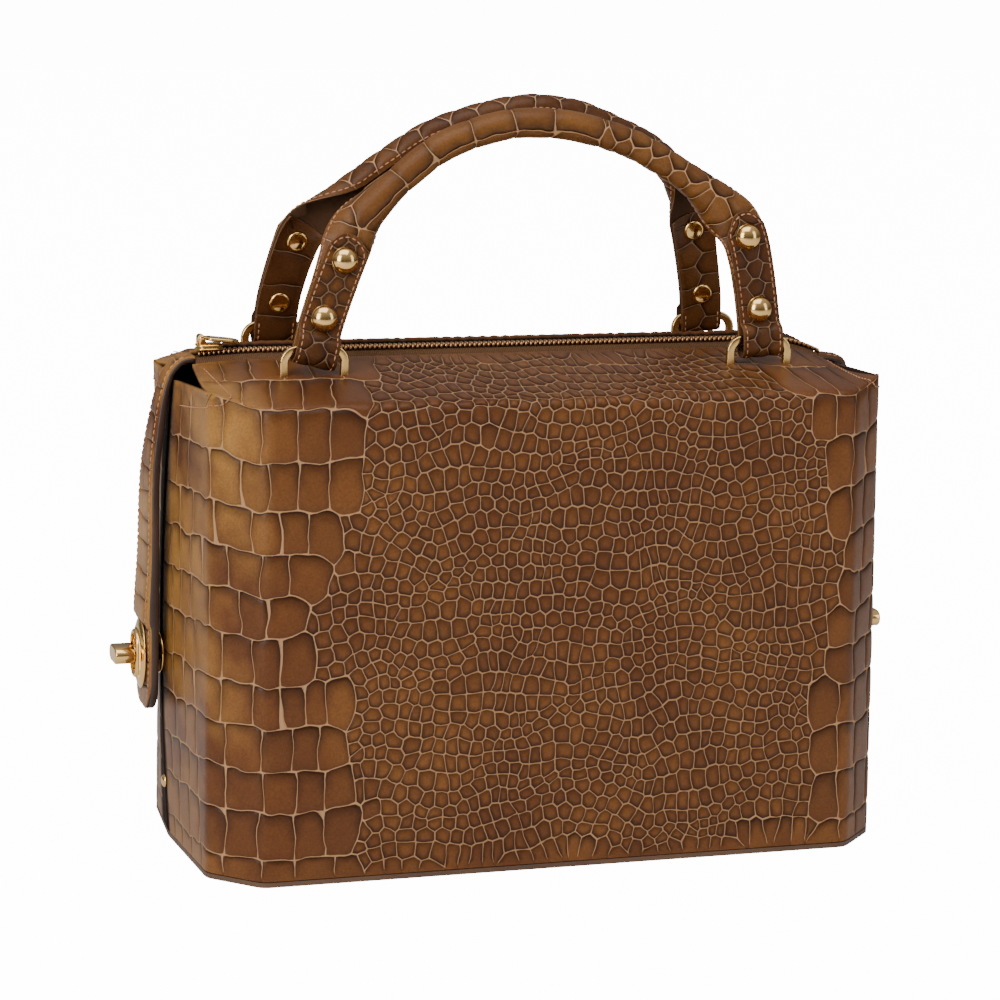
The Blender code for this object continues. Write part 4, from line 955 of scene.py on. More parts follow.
def leather_grain_group():
    """Fine grain over object places: pores with soft creases as a height, stains and speckle as masks."""
    tree = bpy.data.node_groups.new("Leather grain", "ShaderNodeTree")
    for label, default in (("Pore size", 1500.0), ("Stain size", STAIN_SIZE)):
        socket = tree.interface.new_socket(label, in_out="INPUT", socket_type="NodeSocketFloat")
        socket.default_value = default
    for label in ("Height", "Stain", "Speckle"):
        tree.interface.new_socket(label, in_out="OUTPUT", socket_type="NodeSocketFloat")
    given, out = tree.nodes.new("NodeGroupInput").outputs, tree.nodes.new("NodeGroupOutput").inputs
    nodes = Nodes(tree)
    place = nodes.place()
    pores = nodes.add("ShaderNodeTexVoronoi", {"Vector": place, "Scale": given["Pore size"]}, feature="F1")
    creases = nodes.noise(place, 420.0, 4.0, 0.6)
    nodes.link(nodes.math("ADD", pores.outputs["Distance"], creases), out["Height"])
    nodes.link(nodes.noise(place, given["Stain size"], 3.0), out["Stain"])
    nodes.link(nodes.noise(place, 1050.0, 3.0, 0.75), out["Speckle"])
    return tree


def new_material(name):
    """A material, the inputs of its shader, and its nodes."""
    material = bpy.data.materials.new(name)
    material.use_nodes = True
    tree = material.node_tree
    return material, tree.nodes["Principled BSDF"].inputs, Nodes(tree)


def croc_leather(name, palette, roughness=0.36, grain=0.00006):
    """Two-tone embossed leather: pale grooves, dark edges round each scale with painted shade on one side,
    and each scale's own tint.

    The palette holds linear colours, and shares for the dark edges and for the painted highlight on the left
    corner."""
    material, shader, nodes = new_material(name)
    fine = nodes.grain(STAIN_SIZE)
    groove, dark, tint, under = (nodes.attribute(key) for key in ("groove", "dark", "tint", "under"))
    stain = nodes.ramp(fine["Stain"], 0.35, 0.65)
    body = nodes.mix(stain, palette["body"], palette["warm"])
    body = nodes.mix(nodes.math("MULTIPLY", tint, 0.55), body, palette["cool"])
    place = nodes.add("ShaderNodeSeparateXYZ", {0: nodes.place()}).outputs
    # Painted highlight: paler ochre on the left corner where the left light falls, fuller higher up and
    # streaked by the stains
    corner = nodes.ramp(place["X"], *CORNER_HIGHLIGHT_ACROSS, 0.0, palette["ochre_share"])
    corner = nodes.math("MULTIPLY", corner, nodes.ramp(place["Z"], *CORNER_HIGHLIGHT_HEIGHTS, *CORNER_HIGHLIGHT_SHARES))
    body = nodes.mix(nodes.math("MULTIPLY", stain, corner), body, palette["ochre"])
    body = nodes.mix(nodes.ramp(fine["Speckle"], 0.32, 0.68, 0.0, 0.34), body, palette["dark"])
    body = nodes.mix(nodes.math("MULTIPLY", dark, palette["edge"]), body, palette["dark"])
    body = nodes.mix(nodes.ramp(groove, 0.35, 0.85), body, palette["groove"])
    # The under mask holds both the flesh side and the painted shade near the grooves
    nodes.link(nodes.mix(under, body, palette["flesh"]), shader["Base Color"])
    rough = nodes.ramp(groove, 0.0, 1.0, roughness, 0.62)
    nodes.link(nodes.add("ShaderNodeMix", {0: under, 2: rough, 3: 0.95}).outputs[0], shader["Roughness"])
    nodes.link(nodes.bump(fine["Height"], grain), shader["Normal"])
    shader["Specular IOR Level"].default_value = LEATHER_SHINE
    return material


def gold(name="Polished gold", colour=(0.83, 0.60, 0.30, 1.0), roughness=0.13):
    """Polished pale gold with faint haze and wear."""
    material, shader, nodes = new_material(name)
    place = nodes.place()
    haze, tone = nodes.noise(place, 260.0, 3.0), nodes.noise(place, 60.0, 2.0)
    deeper = tuple(c * s for c, s in zip(colour, (0.93, 0.88, 0.78, 1.0)))
    nodes.link(nodes.mix(tone, colour, deeper), shader["Base Color"])
    nodes.link(nodes.ramp(haze, 0.3, 0.7, roughness - 0.03, roughness + 0.05), shader["Roughness"])
    shader["Metallic"].default_value = 1.0
    return material


def plain_leather(name, colour, second, roughness=0.6, scale=30.0, grain=0.00005):
    """Smooth or split leather of one colour with slow changes and fine grain."""
    material, shader, nodes = new_material(name)
    fine = nodes.grain(scale)
    nodes.link(nodes.mix(nodes.ramp(fine["Stain"], 0.35, 0.65), colour, second), shader["Base Color"])
    nodes.link(nodes.bump(fine["Height"], grain), shader["Normal"])
    shader["Roughness"].default_value = roughness
    return material


def woven_tape():
    """Brown woven zip tape with fine ribs across it."""
    material, shader, nodes = new_material("Zip tape")
    place = nodes.place()
    ribs = {"Vector": place, "Scale": 370.0, "Distortion": 1.5, "Detail": 2.0}
    ribs = nodes.add("ShaderNodeTexWave", ribs, bands_direction="X").outputs["Fac"]
    weave = {"Vector": place, "Scale": 520.0, "Distortion": 1.0}
    weave = nodes.add("ShaderNodeTexWave", weave, bands_direction="Y").outputs["Fac"]
    both = nodes.math("MULTIPLY_ADD", ribs, weave, 0.15)
    tone = nodes.mix(both, (0.055, 0.026, 0.012, 1), (0.185, 0.092, 0.042, 1))
    nodes.link(tone, shader["Base Color"])
    nodes.link(nodes.bump(both, 0.0003), shader["Normal"])
    shader["Roughness"].default_value = 0.85
    shader["Specular IOR Level"].default_value = 0.15
    return material


def stage_material(name, colour, glow):
    """Pale matt floor. It glows towards the camera alone, so that it looks as pale as a studio's sheet."""
    material, shader, nodes = new_material(name)
    cloud = nodes.noise(nodes.place(), 1.5, 2.0)
    second = tuple(c * 0.98 for c in colour[:3]) + (1.0,)
    nodes.link(nodes.mix(cloud, colour, second), shader["Base Color"])
    seen = nodes.add("ShaderNodeLightPath").outputs["Is Camera Ray"]
    nodes.link(nodes.math("MULTIPLY", seen, glow), shader["Emission Strength"])
    shader["Emission Color"].default_value = WHITE
    shader["Roughness"].default_value = 0.9
    shader["Specular IOR Level"].default_value = 0.1
    return material


def leather_palette(tone=1.0, lines=1.0, ochre=0.0):
    """Linear colours of the embossed leather. The tone darkens the scales and lines darkens the pale grooves,
    and ochre is the share of ochre in the scales, a painted highlight. Only the shells' leather has the full
    tone;
    the back handle's lower tone is painted shade."""
    colours = chosen("colours")
    out = {}
    for key in ("body", "warm", "cool", "dark", "ochre"):
        out[key] = tuple(c * tone for c in getattr(colours, key)[:3]) + (1.0,)
    for key in ("body", "warm"):
        out[key] = tuple(a + (b - a) * ochre for a, b in zip(out[key], out["ochre"]))
    out["groove"] = tuple(c * lines for c in colours.groove[:3]) + (1.0,)
    # The shells' near-black flesh colour also paints the shade near the grooves
    out["flesh"] = (0.016, 0.008, 0.005, 1.0) if tone == 1.0 else (0.06, 0.028, 0.013, 1.0)
    out["edge"] = chosen("leather").dark_edges
    out["ochre_share"] = 1.3 if tone == 1.0 else 0.0
    return out


_materials = {}


def material(key):
    """One of the bag's materials, made the first time it is asked for."""
    if key not in _materials:
        _materials[key] = MATERIALS[key]()
    return _materials[key]


MATERIALS = {
    "croc": lambda: croc_leather("Croc leather", leather_palette()),
    # Painted light on copies of the croc leather: the front handle is paler with ochre, a painted highlight,
    # and the back handle darker, painted shade
    "handle_front": lambda: croc_leather("Front handle leather", leather_palette(0.90, 1.1, 0.25), 0.34),
    "handle_back": lambda: croc_leather("Back handle leather", leather_palette(0.70, 1.1), 0.34),
    "tab": lambda: croc_leather("Strap end leather", leather_palette(0.66, 0.52), 0.36),
    "thread": lambda: plain_leather(
        "Copper thread", tuple(chosen("colours").thread), (0.46, 0.22, 0.11, 1), 0.55, 90.0
    ),
    "gold": lambda: gold(colour=tuple(chosen("colours").gold)),
    "edge": lambda: plain_leather(
        "Painted edge", (0.022, 0.009, 0.005, 1), (0.040, 0.016, 0.008, 1), 0.42, 60.0
    ),
    "dark_leather": lambda: plain_leather(
        "Dark gusset leather", (0.005, 0.003, 0.002, 1), (0.010, 0.006, 0.004, 1), 0.85
    ),
    "base_leather": lambda: plain_leather(
        "Base leather", (0.07, 0.032, 0.016, 1), (0.10, 0.048, 0.022, 1), 0.5
    ),
    "tape": woven_tape,
    "teeth": lambda: gold("Bronze teeth", (0.45, 0.26, 0.13, 1.0), 0.3),
}


# The camera and the light


CAMERA_PLACE = (-0.47319, -1.43606, 0.45400)
CAMERA_TURN = (18.0409, 11.5961, 1.5614)
# Each light: name, its power among the stage's settings, place, target, size, colour
LIGHTS = (
    ("Large soft box above", "above", (-0.2, -0.5, 1.6), (0, 0, 0.1), (1.6, 1.2), (1.0, 0.99, 0.97)),
    ("Soft box from the left", "left", (-1.3, -1.2, 0.8), (0, 0, 0.12), (0.9, 1.2), (1.0, 0.97, 0.93)),
    ("Strip from the right", "right", (1.3, -1.2, 0.7), (0, 0, 0.12), (0.5, 1.2), (0.97, 0.98, 1.0)),
)


def camera_axes():
    """Right, up and backward axes of the camera from its yaw, downward pitch and roll."""
    yaw, pitch, roll = (math.radians(a) for a in CAMERA_TURN)
    ahead = np.array((math.sin(yaw) * math.cos(pitch), math.cos(yaw) * math.cos(pitch), -math.sin(pitch)))
    right = np.array((math.cos(yaw), -math.sin(yaw), 0.0))
    up = np.cross(right, ahead)
    turned_right = math.cos(roll) * right + math.sin(roll) * up
    turned_up = -math.sin(roll) * right + math.cos(roll) * up
    return turned_right, turned_up, -ahead


def add_light(name, place, target, size, power, colour):
    """A rectangular light at a place, facing a target."""
    data = bpy.data.lights.new(name, "AREA")
    data.shape = "RECTANGLE"
    data.size, data.size_y = size
    data.energy = power
    data.color = colour
    obj = bpy.data.objects.new(name, data)
    bpy.context.scene.collection.objects.link(obj)
    obj.location = place
    obj.rotation_euler = (Vector(target) - Vector(place)).to_track_quat("-Z", "Y").to_euler()


class HANDBAG_OT_stage(bpy.types.Operator):
    """Pale floor, soft studio lights and the camera"""

    bl_idname = "handbag.stage"
    bl_label = "Stage, light and camera"

    def execute(self, context):
        stage = chosen("stage")
        floor_material = stage_material("Pale floor", tuple(stage.floor), stage.floor_glow)
        corners = [(-4, -4, 0), (4, -4, 0), (4, 4, 0), (-4, 4, 0)]
        floor = make_mesh("floor", corners, [(0, 1, 2, 3)], floor_material, smooth=False)
        world = bpy.data.worlds.new("Soft white room")
        context.scene.world = world
        world.use_nodes = True
        sky = world.node_tree.nodes["Background"]
        sky.inputs["Color"].default_value = WHITE
        nodes = Nodes(world.node_tree)
        towards = nodes.add("ShaderNodeTexCoord").outputs["Generated"]
        height = nodes.add("ShaderNodeSeparateXYZ", {0: towards}).outputs["Z"]
        light = nodes.ramp(height, 0.0, 0.8, 0.10, stage.room_light)
        seen = nodes.add("ShaderNodeLightPath").outputs["Is Camera Ray"]
        nodes.link(nodes.ramp(seen, 0.0, 1.0, light, stage.room_glow), sky.inputs["Strength"])
        for name, power, place, target, size, tone in LIGHTS:
            add_light(name, place, target, size, getattr(stage, power), tone)
        data = bpy.data.cameras.new("Camera")
        data.lens = stage.lens
        data.sensor_width = 36.0
        data.clip_start, data.clip_end = 0.05, 50.0
        camera = bpy.data.objects.new("Camera", data)
        context.scene.collection.objects.link(camera)
        right, up, back = camera_axes()
        turn = Matrix([[right[i], up[i], back[i]] for i in range(3)])
        camera.matrix_world = Matrix.Translation(CAMERA_PLACE) @ turn.to_4x4()
        context.scene.camera = camera
        return {"FINISHED"}


# Leather shells


def top_limits(surface):
    """Cutting lines near the upper corners: the end panels stop at the bend, the top piece at its tips."""
    tip = surface.tip

    def limits(u, w):
        lines = []
        if abs(u) > tip - 0.004 and w < BEND_LINE:
            lines.append((0.0, 1.0, BEND_LINE))
        if w > BEND_LINE:
            sign = 1.0 if u > 0 else -1.0
            lines.append((sign, 0.0, tip))
        return lines

    return limits


def shell_outlines(surface, left_rows, right_rows, seed):
    """Outlines of all scales of one shell, laid out flat, from the seeds of its large and small scales."""
    end = surface.u[-1]
    left = tile_seeds(left_rows, -end, surface.tip)
    right = tile_seeds(right_rows, end, surface.tip)
    small = small_seeds(left_rows, right_rows, seed)
    seeds = np.vstack([left[:, :2], right[:, :2], small])
    first, second = int(left[:, 2].max()) + 1, int(right[:, 2].max()) + 1
    labels = list(left[:, 2].astype(int)) + list(right[:, 2].astype(int) + first)
    labels += [first + second + i for i in range(len(small))]
    cells = cells_of([tuple(s) for s in seeds], (-end, 0.0), (end, TOP_LINE), top_limits(surface))
    corners = [(-surface.tip, BEND_LINE), (surface.tip, BEND_LINE)]
    points, outlines = outlines_of(cells, labels, corners)
    return straighten(points, outlines, np.array(corners)), outlines


# Waves of the laid-out leather: size and reach along and across, and the margin where they fade out
WAVE_ALONG, WAVE_UP, WAVE_MARGIN = (0.022, 0.0007), (0.024, 0.0009), 0.006
# Gathers of the back shell's edge at the zip: waves for each metre, height, and reach below the edge
GATHERS, GATHER_HEIGHT, GATHER_REACH = 560, 0.0007, 0.005
# End panels: where they begin, and how much flatter and paler their scales are there
END_PANEL = (0.156, 0.162)
END_FLATTER, END_PALER = 0.55, 0.4
# Painted shade: distances from the groove between which a shell's leather turns to the near-black rough flesh
# colour, standing in for the shade that the end strap and the groove cast there
GROOVE_SHADE_REACH = {"front": (0.0030, 0.0008), "back": (0.021, 0.012)}


def build_shell(half, seed, step):
    """The embossed leather of one shell, as a face and a top piece that meet over the bend."""
    surface = ShellSurface(half)
    points, outlines = shell_outlines(surface, LEFT_TILES, RIGHT_TILES, seed)
    end = surface.u[-1]

    def lay(u, w, height):
        edge = np.minimum.reduce([w, end - np.abs(u), TOP_LINE - w])
        near_tip = np.where(w > BEND_LINE - 0.004, np.abs(surface.tip - np.abs(u)), 1.0)
        bend = np.where(np.abs(u) > surface.tip - 0.004, np.abs(BEND_LINE - w), 1.0)
        fade = smoothstep(np.minimum.reduce([edge, near_tip, bend]), 0.0, WAVE_MARGIN)
        du = wave_noise(u, w, WAVE_ALONG[0], seed + 11, 3) * WAVE_ALONG[1] * fade
        dw = wave_noise(u, w, WAVE_UP[0], seed + 12, 3) * WAVE_UP[1] * fade
        height = height / 1000
        if half == "back":
            gathers = np.abs(np.sin(u * GATHERS + 2 * du / WAVE_ALONG[1])) * GATHER_HEIGHT
            height = height + gathers * smoothstep(w, TOP_LINE - GATHER_REACH, TOP_LINE)
        return surface.place(u + du, w + dw, height)

    rim = rim_points(outlines)
    top_labels = {k for k, loop in outlines.items() if points[loop][:, 1].mean() > BEND_LINE + 0.004}
    for name, labels in (("face", set(outlines) - top_labels), ("top", top_labels)):
        part = {k: outlines[k] for k in outlines if k in labels}
        field = raise_scales(points, part, step, seed=seed, rim=rim)
        on_end = smoothstep(np.abs(field["p"][:, 0]), *END_PANEL)
        field["h"] = field["h"] * (1 - END_FLATTER * on_end)
        field["g"] = field["g"] ** (1 - END_PALER * on_end)
        field = close_underside(field, LEATHER * 1000)
        # Painted shade near the groove: the flesh colour and full roughness are laid over the leather there
        near, far = GROOVE_SHADE_REACH[half]
        painted_groove_shade = smoothstep(np.abs(field["p"][:, 0]), end - near, end - far)
        field["under"] = np.maximum(field["under"], painted_groove_shade)
        leather = leather_object(f"{half}_{name}_leather", field, lay, material("croc"), flip=half == "back")
        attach(leather, "bag")
        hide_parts(f"{half}_shell")


class HANDBAG_OT_shells(bpy.types.Operator):
    """Front and back leather shells with their scales"""

    bl_idname = "handbag.shells"
    bl_label = "Leather shells"

    def execute(self, context):
        build_shell("front", 5, 0.0024)
        build_shell("back", 23, 0.0026)
        build_ear_stitching("front")
        build_ear_stitching("back")
        return {"FINISHED"}


# Handles and end straps: ribbons of leather

LOOP_X, LOOP_Y, LOOP_TOP = 0.1003, 0.0344, 0.2208
LOOP_WIDTH, LOOP_STRIP, LOOP_THICKNESS, LOOP_BEND = 0.030, 0.0036, 0.0025, 0.0075
HANDLE_RISE = 0.0952
HANDLE_TILT = {"front": 5.0, "back": 15.0}
STRAP_WIDTH, STRAP_THICKNESS, BAR_ROOM = 0.0185, 0.0022, 0.0042
TAB_OVER_RIVET, LOWER_RIVET = 0.0113, 0.0198
RIVET_HEAD, RIVET_DOME, RIVET_CAP, RIVET_CAP_HEIGHT, RIVET_SHANK = 0.0104, 0.0040, 0.0080, 0.0013, 0.0030
FIT_GAP = 0.0003
RIVET_PITCH = {"front_left": 0.0258, "front_right": 0.0320, "back_left": 0.0292, "back_right": 0.0322}

# Middle line of each handle. Columns: place along X as a share of LOOP_X, height as a share of HANDLE_RISE.
HANDLE_LINE = {
    "front": (
        (-1.008, -0.064), (-0.963, 0.120), (-0.873, 0.374), (-0.815, 0.499), (-0.731, 0.610), (-0.577, 0.762),
        (-0.394, 0.895), (-0.161, 0.975), (0.017, 0.989), (0.203, 0.967), (0.425, 0.897), (0.597, 0.801),
        (0.735, 0.707), (0.851, 0.603), (0.944, 0.464), (0.998, 0.133), (1.008, -0.070),
    ),
    "back": (
        (-1.004, -0.076), (-0.998, 0.140), (-0.950, 0.400), (-0.915, 0.510), (-0.846, 0.590), (-0.707, 0.725),
        (-0.562, 0.845), (-0.395, 0.964), (-0.157, 1.051), (0.035, 1.084), (0.173, 1.070), (0.272, 1.048),
        (0.428, 0.980), (0.574, 0.907), (0.690, 0.815), (0.800, 0.670), (0.871, 0.487), (0.956, 0.162),
        (0.988, -0.072),
    ),
}

# How a strap end rolls into the tube, counted from the upper rivet: distance, turn in degrees, width
ROLL = (
    (-0.024, 0.5, 0.0185), (-0.012, 16.0, 0.0190), (0.0, 52.0, 0.0208), (0.008, 98.0, 0.0236),
    (0.016, 160.0, 0.0264), (0.024, 235.0, 0.0292), (0.032, 308.0, 0.0315), (0.039, 350.0, 0.0322),
)


def smooth_line(points, steps):
    """A Catmull-Rom curve through the points, with the given steps in each span."""
    points = np.asarray(points, float)
    padded = np.vstack([2 * points[0] - points[1], points, 2 * points[-1] - points[-2]])
    t = (np.arange(steps) / steps)[:, None]
    out = []
    for p0, p1, p2, p3 in zip(padded[:-3], padded[1:-2], padded[2:-1], padded[3:]):
        squared, cubed = 2 * p0 - 5 * p1 + 4 * p2 - p3, 3 * p1 - p0 - 3 * p2 + p3
        out.append(0.5 * (2 * p1 + (p2 - p0) * t + squared * t**2 + cubed * t**3))
    return np.vstack([*out, points[-1:]])


class Line:
    """A flat curve measured by the distance along it."""

    def __init__(self, points):
        self.points = points
        self.distance = distance_along(points)
        self.length = self.distance[-1]

    def place(self, d):
        return np.array([np.interp(d, self.distance, self.points[:, k]) for k in (0, 1)])

    def ahead(self, d):
        """Direction of the curve at a distance, from two places 1.2 mm on either side."""
        step = self.place(d + 0.0012) - self.place(d - 0.0012)
        return step / np.linalg.norm(step)


def handle_frame(side):
    """Origin and axes of a handle's plane: along X, up in the plane, and outwards from the bag."""
    tilt = math.radians(HANDLE_TILT[side])
    inward = 1 if side == "front" else -1
    up = np.array((0.0, inward * math.sin(tilt), math.cos(tilt)))
    outward = np.array((0.0, -inward * math.cos(tilt), math.sin(tilt)))
    bar = np.array((0.0, -inward * LOOP_Y, LOOP_TOP - LOOP_STRIP / 2))
    return bar - outward * (BAR_ROOM + STRAP_THICKNESS) / 2, np.array((1.0, 0.0, 0.0)), up, outward


LEAF_BEND = (BAR_ROOM + STRAP_THICKNESS) / 2


def outer_leaf_offset(d):
    """How far the outer leaf stands in front of the inner one, at a distance from the strap's foot."""
    share = float(smoothstep(d, 0.0093, 0.0145))
    return 2 * LEAF_BEND + (STRAP_THICKNESS + FIT_GAP - 2 * LEAF_BEND) * share


class Ribbon:
    """A ribbon of leather: stations along it, each with a middle, directions and a rolled cross-section.

    At station s, a point v across is at angle v / half * turn / 2 of a round of radius width / turn, with
    the turn in radians."""

    def __init__(self, s, middle, across, normal, width, turn, half, thickness):
        self.s, self.middle, self.across, self.normal = s, middle, across, normal
        self.width, self.turn, self.half, self.thickness = width, turn, half, thickness

    def at(self, table, s):
        """Rows of a table of stations, at these distances along the ribbon."""
        return np.stack([np.interp(s, self.s, table[:, k]) for k in range(3)], axis=1)

    def place(self, s, v, height, face=1):
        """Points on one face: 1 is the outer side and -1 the lining side, raised by the height."""
        turn = np.interp(s, self.s, self.turn)
        radius = np.interp(s, self.s, self.width) / turn
        angle = v / self.half * turn / 2
        across, normal = unit_rows(self.at(self.across, s)), unit_rows(self.at(self.normal, s))
        out = face * (self.thickness / 2 + height)
        a = (radius + out) * np.sin(angle)
        b = (radius + out) * np.cos(angle) - radius
        return self.at(self.middle, s) + across * a[:, None] + normal * b[:, None]


# Stations of a strap end: down the outer leaf in two runs, and round the bar of the loop
LEAF_STATIONS, LOW_LEAF_STATIONS, TURN_STATIONS = 26, 18, 19
# A flat strap's turn in degrees, as a ribbon has to turn a little
FLAT_TURN = 0.5


def handle_ribbon(side):
    """The strap of a handle, from one tab's top round its loop, over the arch, to the other tab's top.

    Returns the ribbon and the distances of its marks: its bends round the bars and where the tube begins."""
    origin, along, up_axis, outward = handle_frame(side)
    line = Line(smooth_line(np.array(HANDLE_LINE[side]) * (LOOP_X, HANDLE_RISE), 16))
    roll = np.array(ROLL)
    leaf = LEAF_STATIONS + LOW_LEAF_STATIONS
    flat = (STRAP_WIDTH, FLAT_TURN)

    def end_rows(end):
        sign = 1 if end == "left" else -1
        foot = 0.0 if end == "left" else line.length
        upper = LOWER_RIVET + RIVET_PITCH[f"{side}_{end}"]
        top = upper + TAB_OVER_RIVET
        out = []
        low = np.linspace(0.0155, LEAF_BEND + 0.0004, LOW_LEAF_STATIONS)
        for d in np.concatenate([np.linspace(top, 0.0160, LEAF_STATIONS), low]):
            ahead = line.ahead(foot + sign * d) * sign
            slope = (outer_leaf_offset(d + 0.0003) - outer_leaf_offset(d - 0.0003)) / 0.0006
            out.append((*line.place(foot + sign * d), outer_leaf_offset(d), *(-ahead), -slope, *ahead, *flat))
        for a in np.linspace(0, math.pi, TURN_STATIONS):
            ahead = line.ahead(foot) * sign
            place = line.place(foot) + ahead * (LEAF_BEND - LEAF_BEND * math.sin(a))
            travel = -ahead * math.cos(a)
            out.append((*place, LEAF_BEND + LEAF_BEND * math.cos(a), *travel, -math.sin(a), *ahead, *flat))
        last = upper + roll[-1, 0]
        for d in np.arange(LEAF_BEND + 0.0006, last, 0.0012):
            ahead = line.ahead(foot + sign * d) * sign
            turn = np.interp(d - upper, roll[:, 0], roll[:, 1])
            width = np.interp(d - upper, roll[:, 0], roll[:, 2])
            out.append((*line.place(foot + sign * d), 0.0, *ahead, 0.0, *ahead, width, turn))
        return out, last

    left, left_last = end_rows("left")
    right, right_last = end_rows("right")
    middle = []
    for d in np.linspace(left_last, line.length - right_last, 120)[1:-1]:
        ahead = line.ahead(d)
        middle.append((*line.place(d), 0.0, *ahead, 0.0, *ahead, roll[-1, 2], roll[-1, 1]))
    turned = [(*r[:3], -r[3], -r[4], -r[5], -r[6], -r[7], *r[8:]) for r in reversed(right)]
    rows = np.array(left + middle + turned)
    across = np.column_stack([rows[:, 7], -rows[:, 6], np.zeros(len(rows))])
    normal = np.cross(across, unit_rows(rows[:, 3:6]))
    axes = np.array((along, up_axis, outward))
    place = origin + rows[:, :3] @ axes
    s = distance_along(place)
    width, turn = rows[:, 8], np.radians(rows[:, 9])
    ribbon = Ribbon(s, place, across @ axes, normal @ axes, width, turn, STRAP_WIDTH / 2, STRAP_THICKNESS)
    marks = {"left": s[len(left) - 1], "right": s[len(left) + len(middle)]}
    bar = leaf + TURN_STATIONS // 2
    marks["left_turn"], marks["right_turn"] = s[bar], s[len(rows) - 1 - bar]
    return ribbon, marks


def ribbon_seeds(half, bands, seed):
    """Seeds of a ribbon's scales in staggered rows. A band is (start, end, pitch along, rows across)."""
    rng = np.random.default_rng(seed)
    out = []
    for start, end, pitch, rows in bands:
        count = max(1, round((end - start) / pitch))
        row = 2 * half / rows
        for k in range(rows):
            v = -half + (k + 0.5) * 2 * half / rows
            for i in range(-1, count + 1):
                s = start + (i + 0.5 + 0.5 * (k % 2)) * (end - start) / count
                if start <= s < end:
                    out.append((s + rng.uniform(-0.13, 0.13) * pitch, v + rng.uniform(-0.12, 0.12) * row))
    return np.array(out)


def round_end_limits(length, half):
    """Cutting lines that round both ends of a ribbon laid out flat."""

    def limits(s, v):
        lines = []
        ends = ((half, -1.0, s < 1.6 * half), (length - half, 1.0, s > length - 1.6 * half))
        for centre, sign, near in ends:
            for a in np.radians(np.arange(-80, 81, 10)) if near else ():
                nx, ny = sign * math.cos(a), math.sin(a)
                lines.append((nx, ny, nx * centre + half))
        return lines

    return limits


# The handles' leather: its thickness, the length of the steps along its outlines, the reach of its waves,
# the area over which a scale counts as large, and the share of the grooves' depth and of their tone at edges
RIBBON_LEATHER, RIBBON_STEP, RIBBON_WAVE = 0.00105, 0.0016, 0.0005
RIBBON_LARGE, RIBBON_DEPTH, RIBBON_EDGE_GROOVE = 5e-5, 0.8, 0.85


def ribbon_leather(name, ribbon, seeds, low, high, limits, material_key, face, seed):
    """A sheet of scales laid on one face of a ribbon."""
    labels = seeds[:, 2].astype(int) if seeds.shape[1] > 2 else list(range(len(seeds)))
    cells = cells_of([tuple(p[:2]) for p in seeds], (low, -ribbon.half), (high, ribbon.half), limits)
    points, outlines = outlines_of(cells, labels)
    points = straighten(points, outlines, np.zeros((0, 2)), 10)
    field = raise_scales(
        points, outlines, RIBBON_STEP, RIBBON_LARGE, seed, RIBBON_DEPTH, edge_groove=RIBBON_EDGE_GROOVE
    )
    field = close_underside(field, RIBBON_LEATHER * 1000)

    def lay(s, v, height):
        fade = smoothstep(np.minimum.reduce([ribbon.half - np.abs(v), s - low, high - s]), 0.0, 0.003)
        ds = wave_noise(s, v, 0.014, seed + 5, 2) * RIBBON_WAVE * fade
        dv = wave_noise(s, v, 0.014, seed + 6, 2) * RIBBON_WAVE * fade
        return ribbon.place(s + ds, v + dv, height / 1000, face)

    return leather_object(name, field, lay, material(material_key), flip=face > 0)


def stitches(name, lines, sink=0.00005):
    """Thread stitches along lines, as one mesh. Each line is (points, normals), and each stitch is a small
    capsule of six sides whose middle stands proud and whose ends dip into the leather."""
    thread = chosen("stitches")
    pitch, length, radius = thread.pitch, thread.length, thread.thickness / 2
    shape = np.array([(-0.5, 0.30), (-0.42, 0.75), (-0.2, 1.0), (0.2, 1.0), (0.42, 0.75), (0.5, 0.30)])
    sides = 6
    angle = np.arange(sides) * math.tau / sides
    points, faces, start = [], [], 0
    for line, normals in lines:
        line, normals = np.asarray(line), np.asarray(normals)
        along = distance_along(line)
        count = int(along[-1] // pitch)
        if count < 1:
            continue
        centres = (np.arange(count) + 0.5) * along[-1] / count
        for c in centres:
            d = c + shape[:, 0] * length
            middle = np.stack([np.interp(d, along, line[:, k]) for k in range(3)], 1)
            up = np.array([np.interp(c, along, normals[:, k]) for k in range(3)])
            up /= np.linalg.norm(up)
            ahead = middle[-1] - middle[0]
            ahead /= max(np.linalg.norm(ahead), 1e-9)
            side = np.cross(up, ahead)
            dip = (1 - shape[:, 1]) * radius * 1.6
            middle = middle + up * (radius * 0.45 - sink - dip)[:, None]
            ring = np.cos(angle)[None, :, None] * side + np.sin(angle)[None, :, None] * up
            points.append((middle[:, None, :] + ring * (shape[:, 1] * radius)[:, None, None]).reshape(-1, 3))
            faces.extend((grid_faces(len(shape), sides, wrap=True) + start)[:, ::-1].tolist())
            faces.append([start + k for k in range(sides)])
            faces.append([start + (len(shape) - 1) * sides + k for k in reversed(range(sides))])
            start += len(shape) * sides
    return make_mesh(name, np.concatenate(points), faces, material("thread"))


def ribbon_line(ribbon, s, v, face):
    """Points and normals on a ribbon's face along a line of laid-out places."""
    s, v = np.asarray(s, float), np.asarray(v, float)
    low = ribbon.place(s, v, np.zeros(len(s)), face)
    high = ribbon.place(s, v, np.full(len(s), 0.001), face)
    return low, (high - low) / 0.001


def box_seeds(low, high, near, far, label):
    """Seeds just inside a long scale of a ribbon, along its four sides."""
    out = []
    lattice = np.arange(0, 400) * 0.0028
    for s in lattice[(lattice > low + 0.0015) & (lattice < high - 0.0015)]:
        out += [(s, near + TILE_SIDE, label), (s, far - TILE_SIDE, label)]
    for v in np.linspace(near + TILE_SIDE, far - TILE_SIDE, max(2, round((far - near) / 0.0024))):
        out += [(low + TILE_SIDE, v, label), (high - TILE_SIDE, v, label)]
    return out


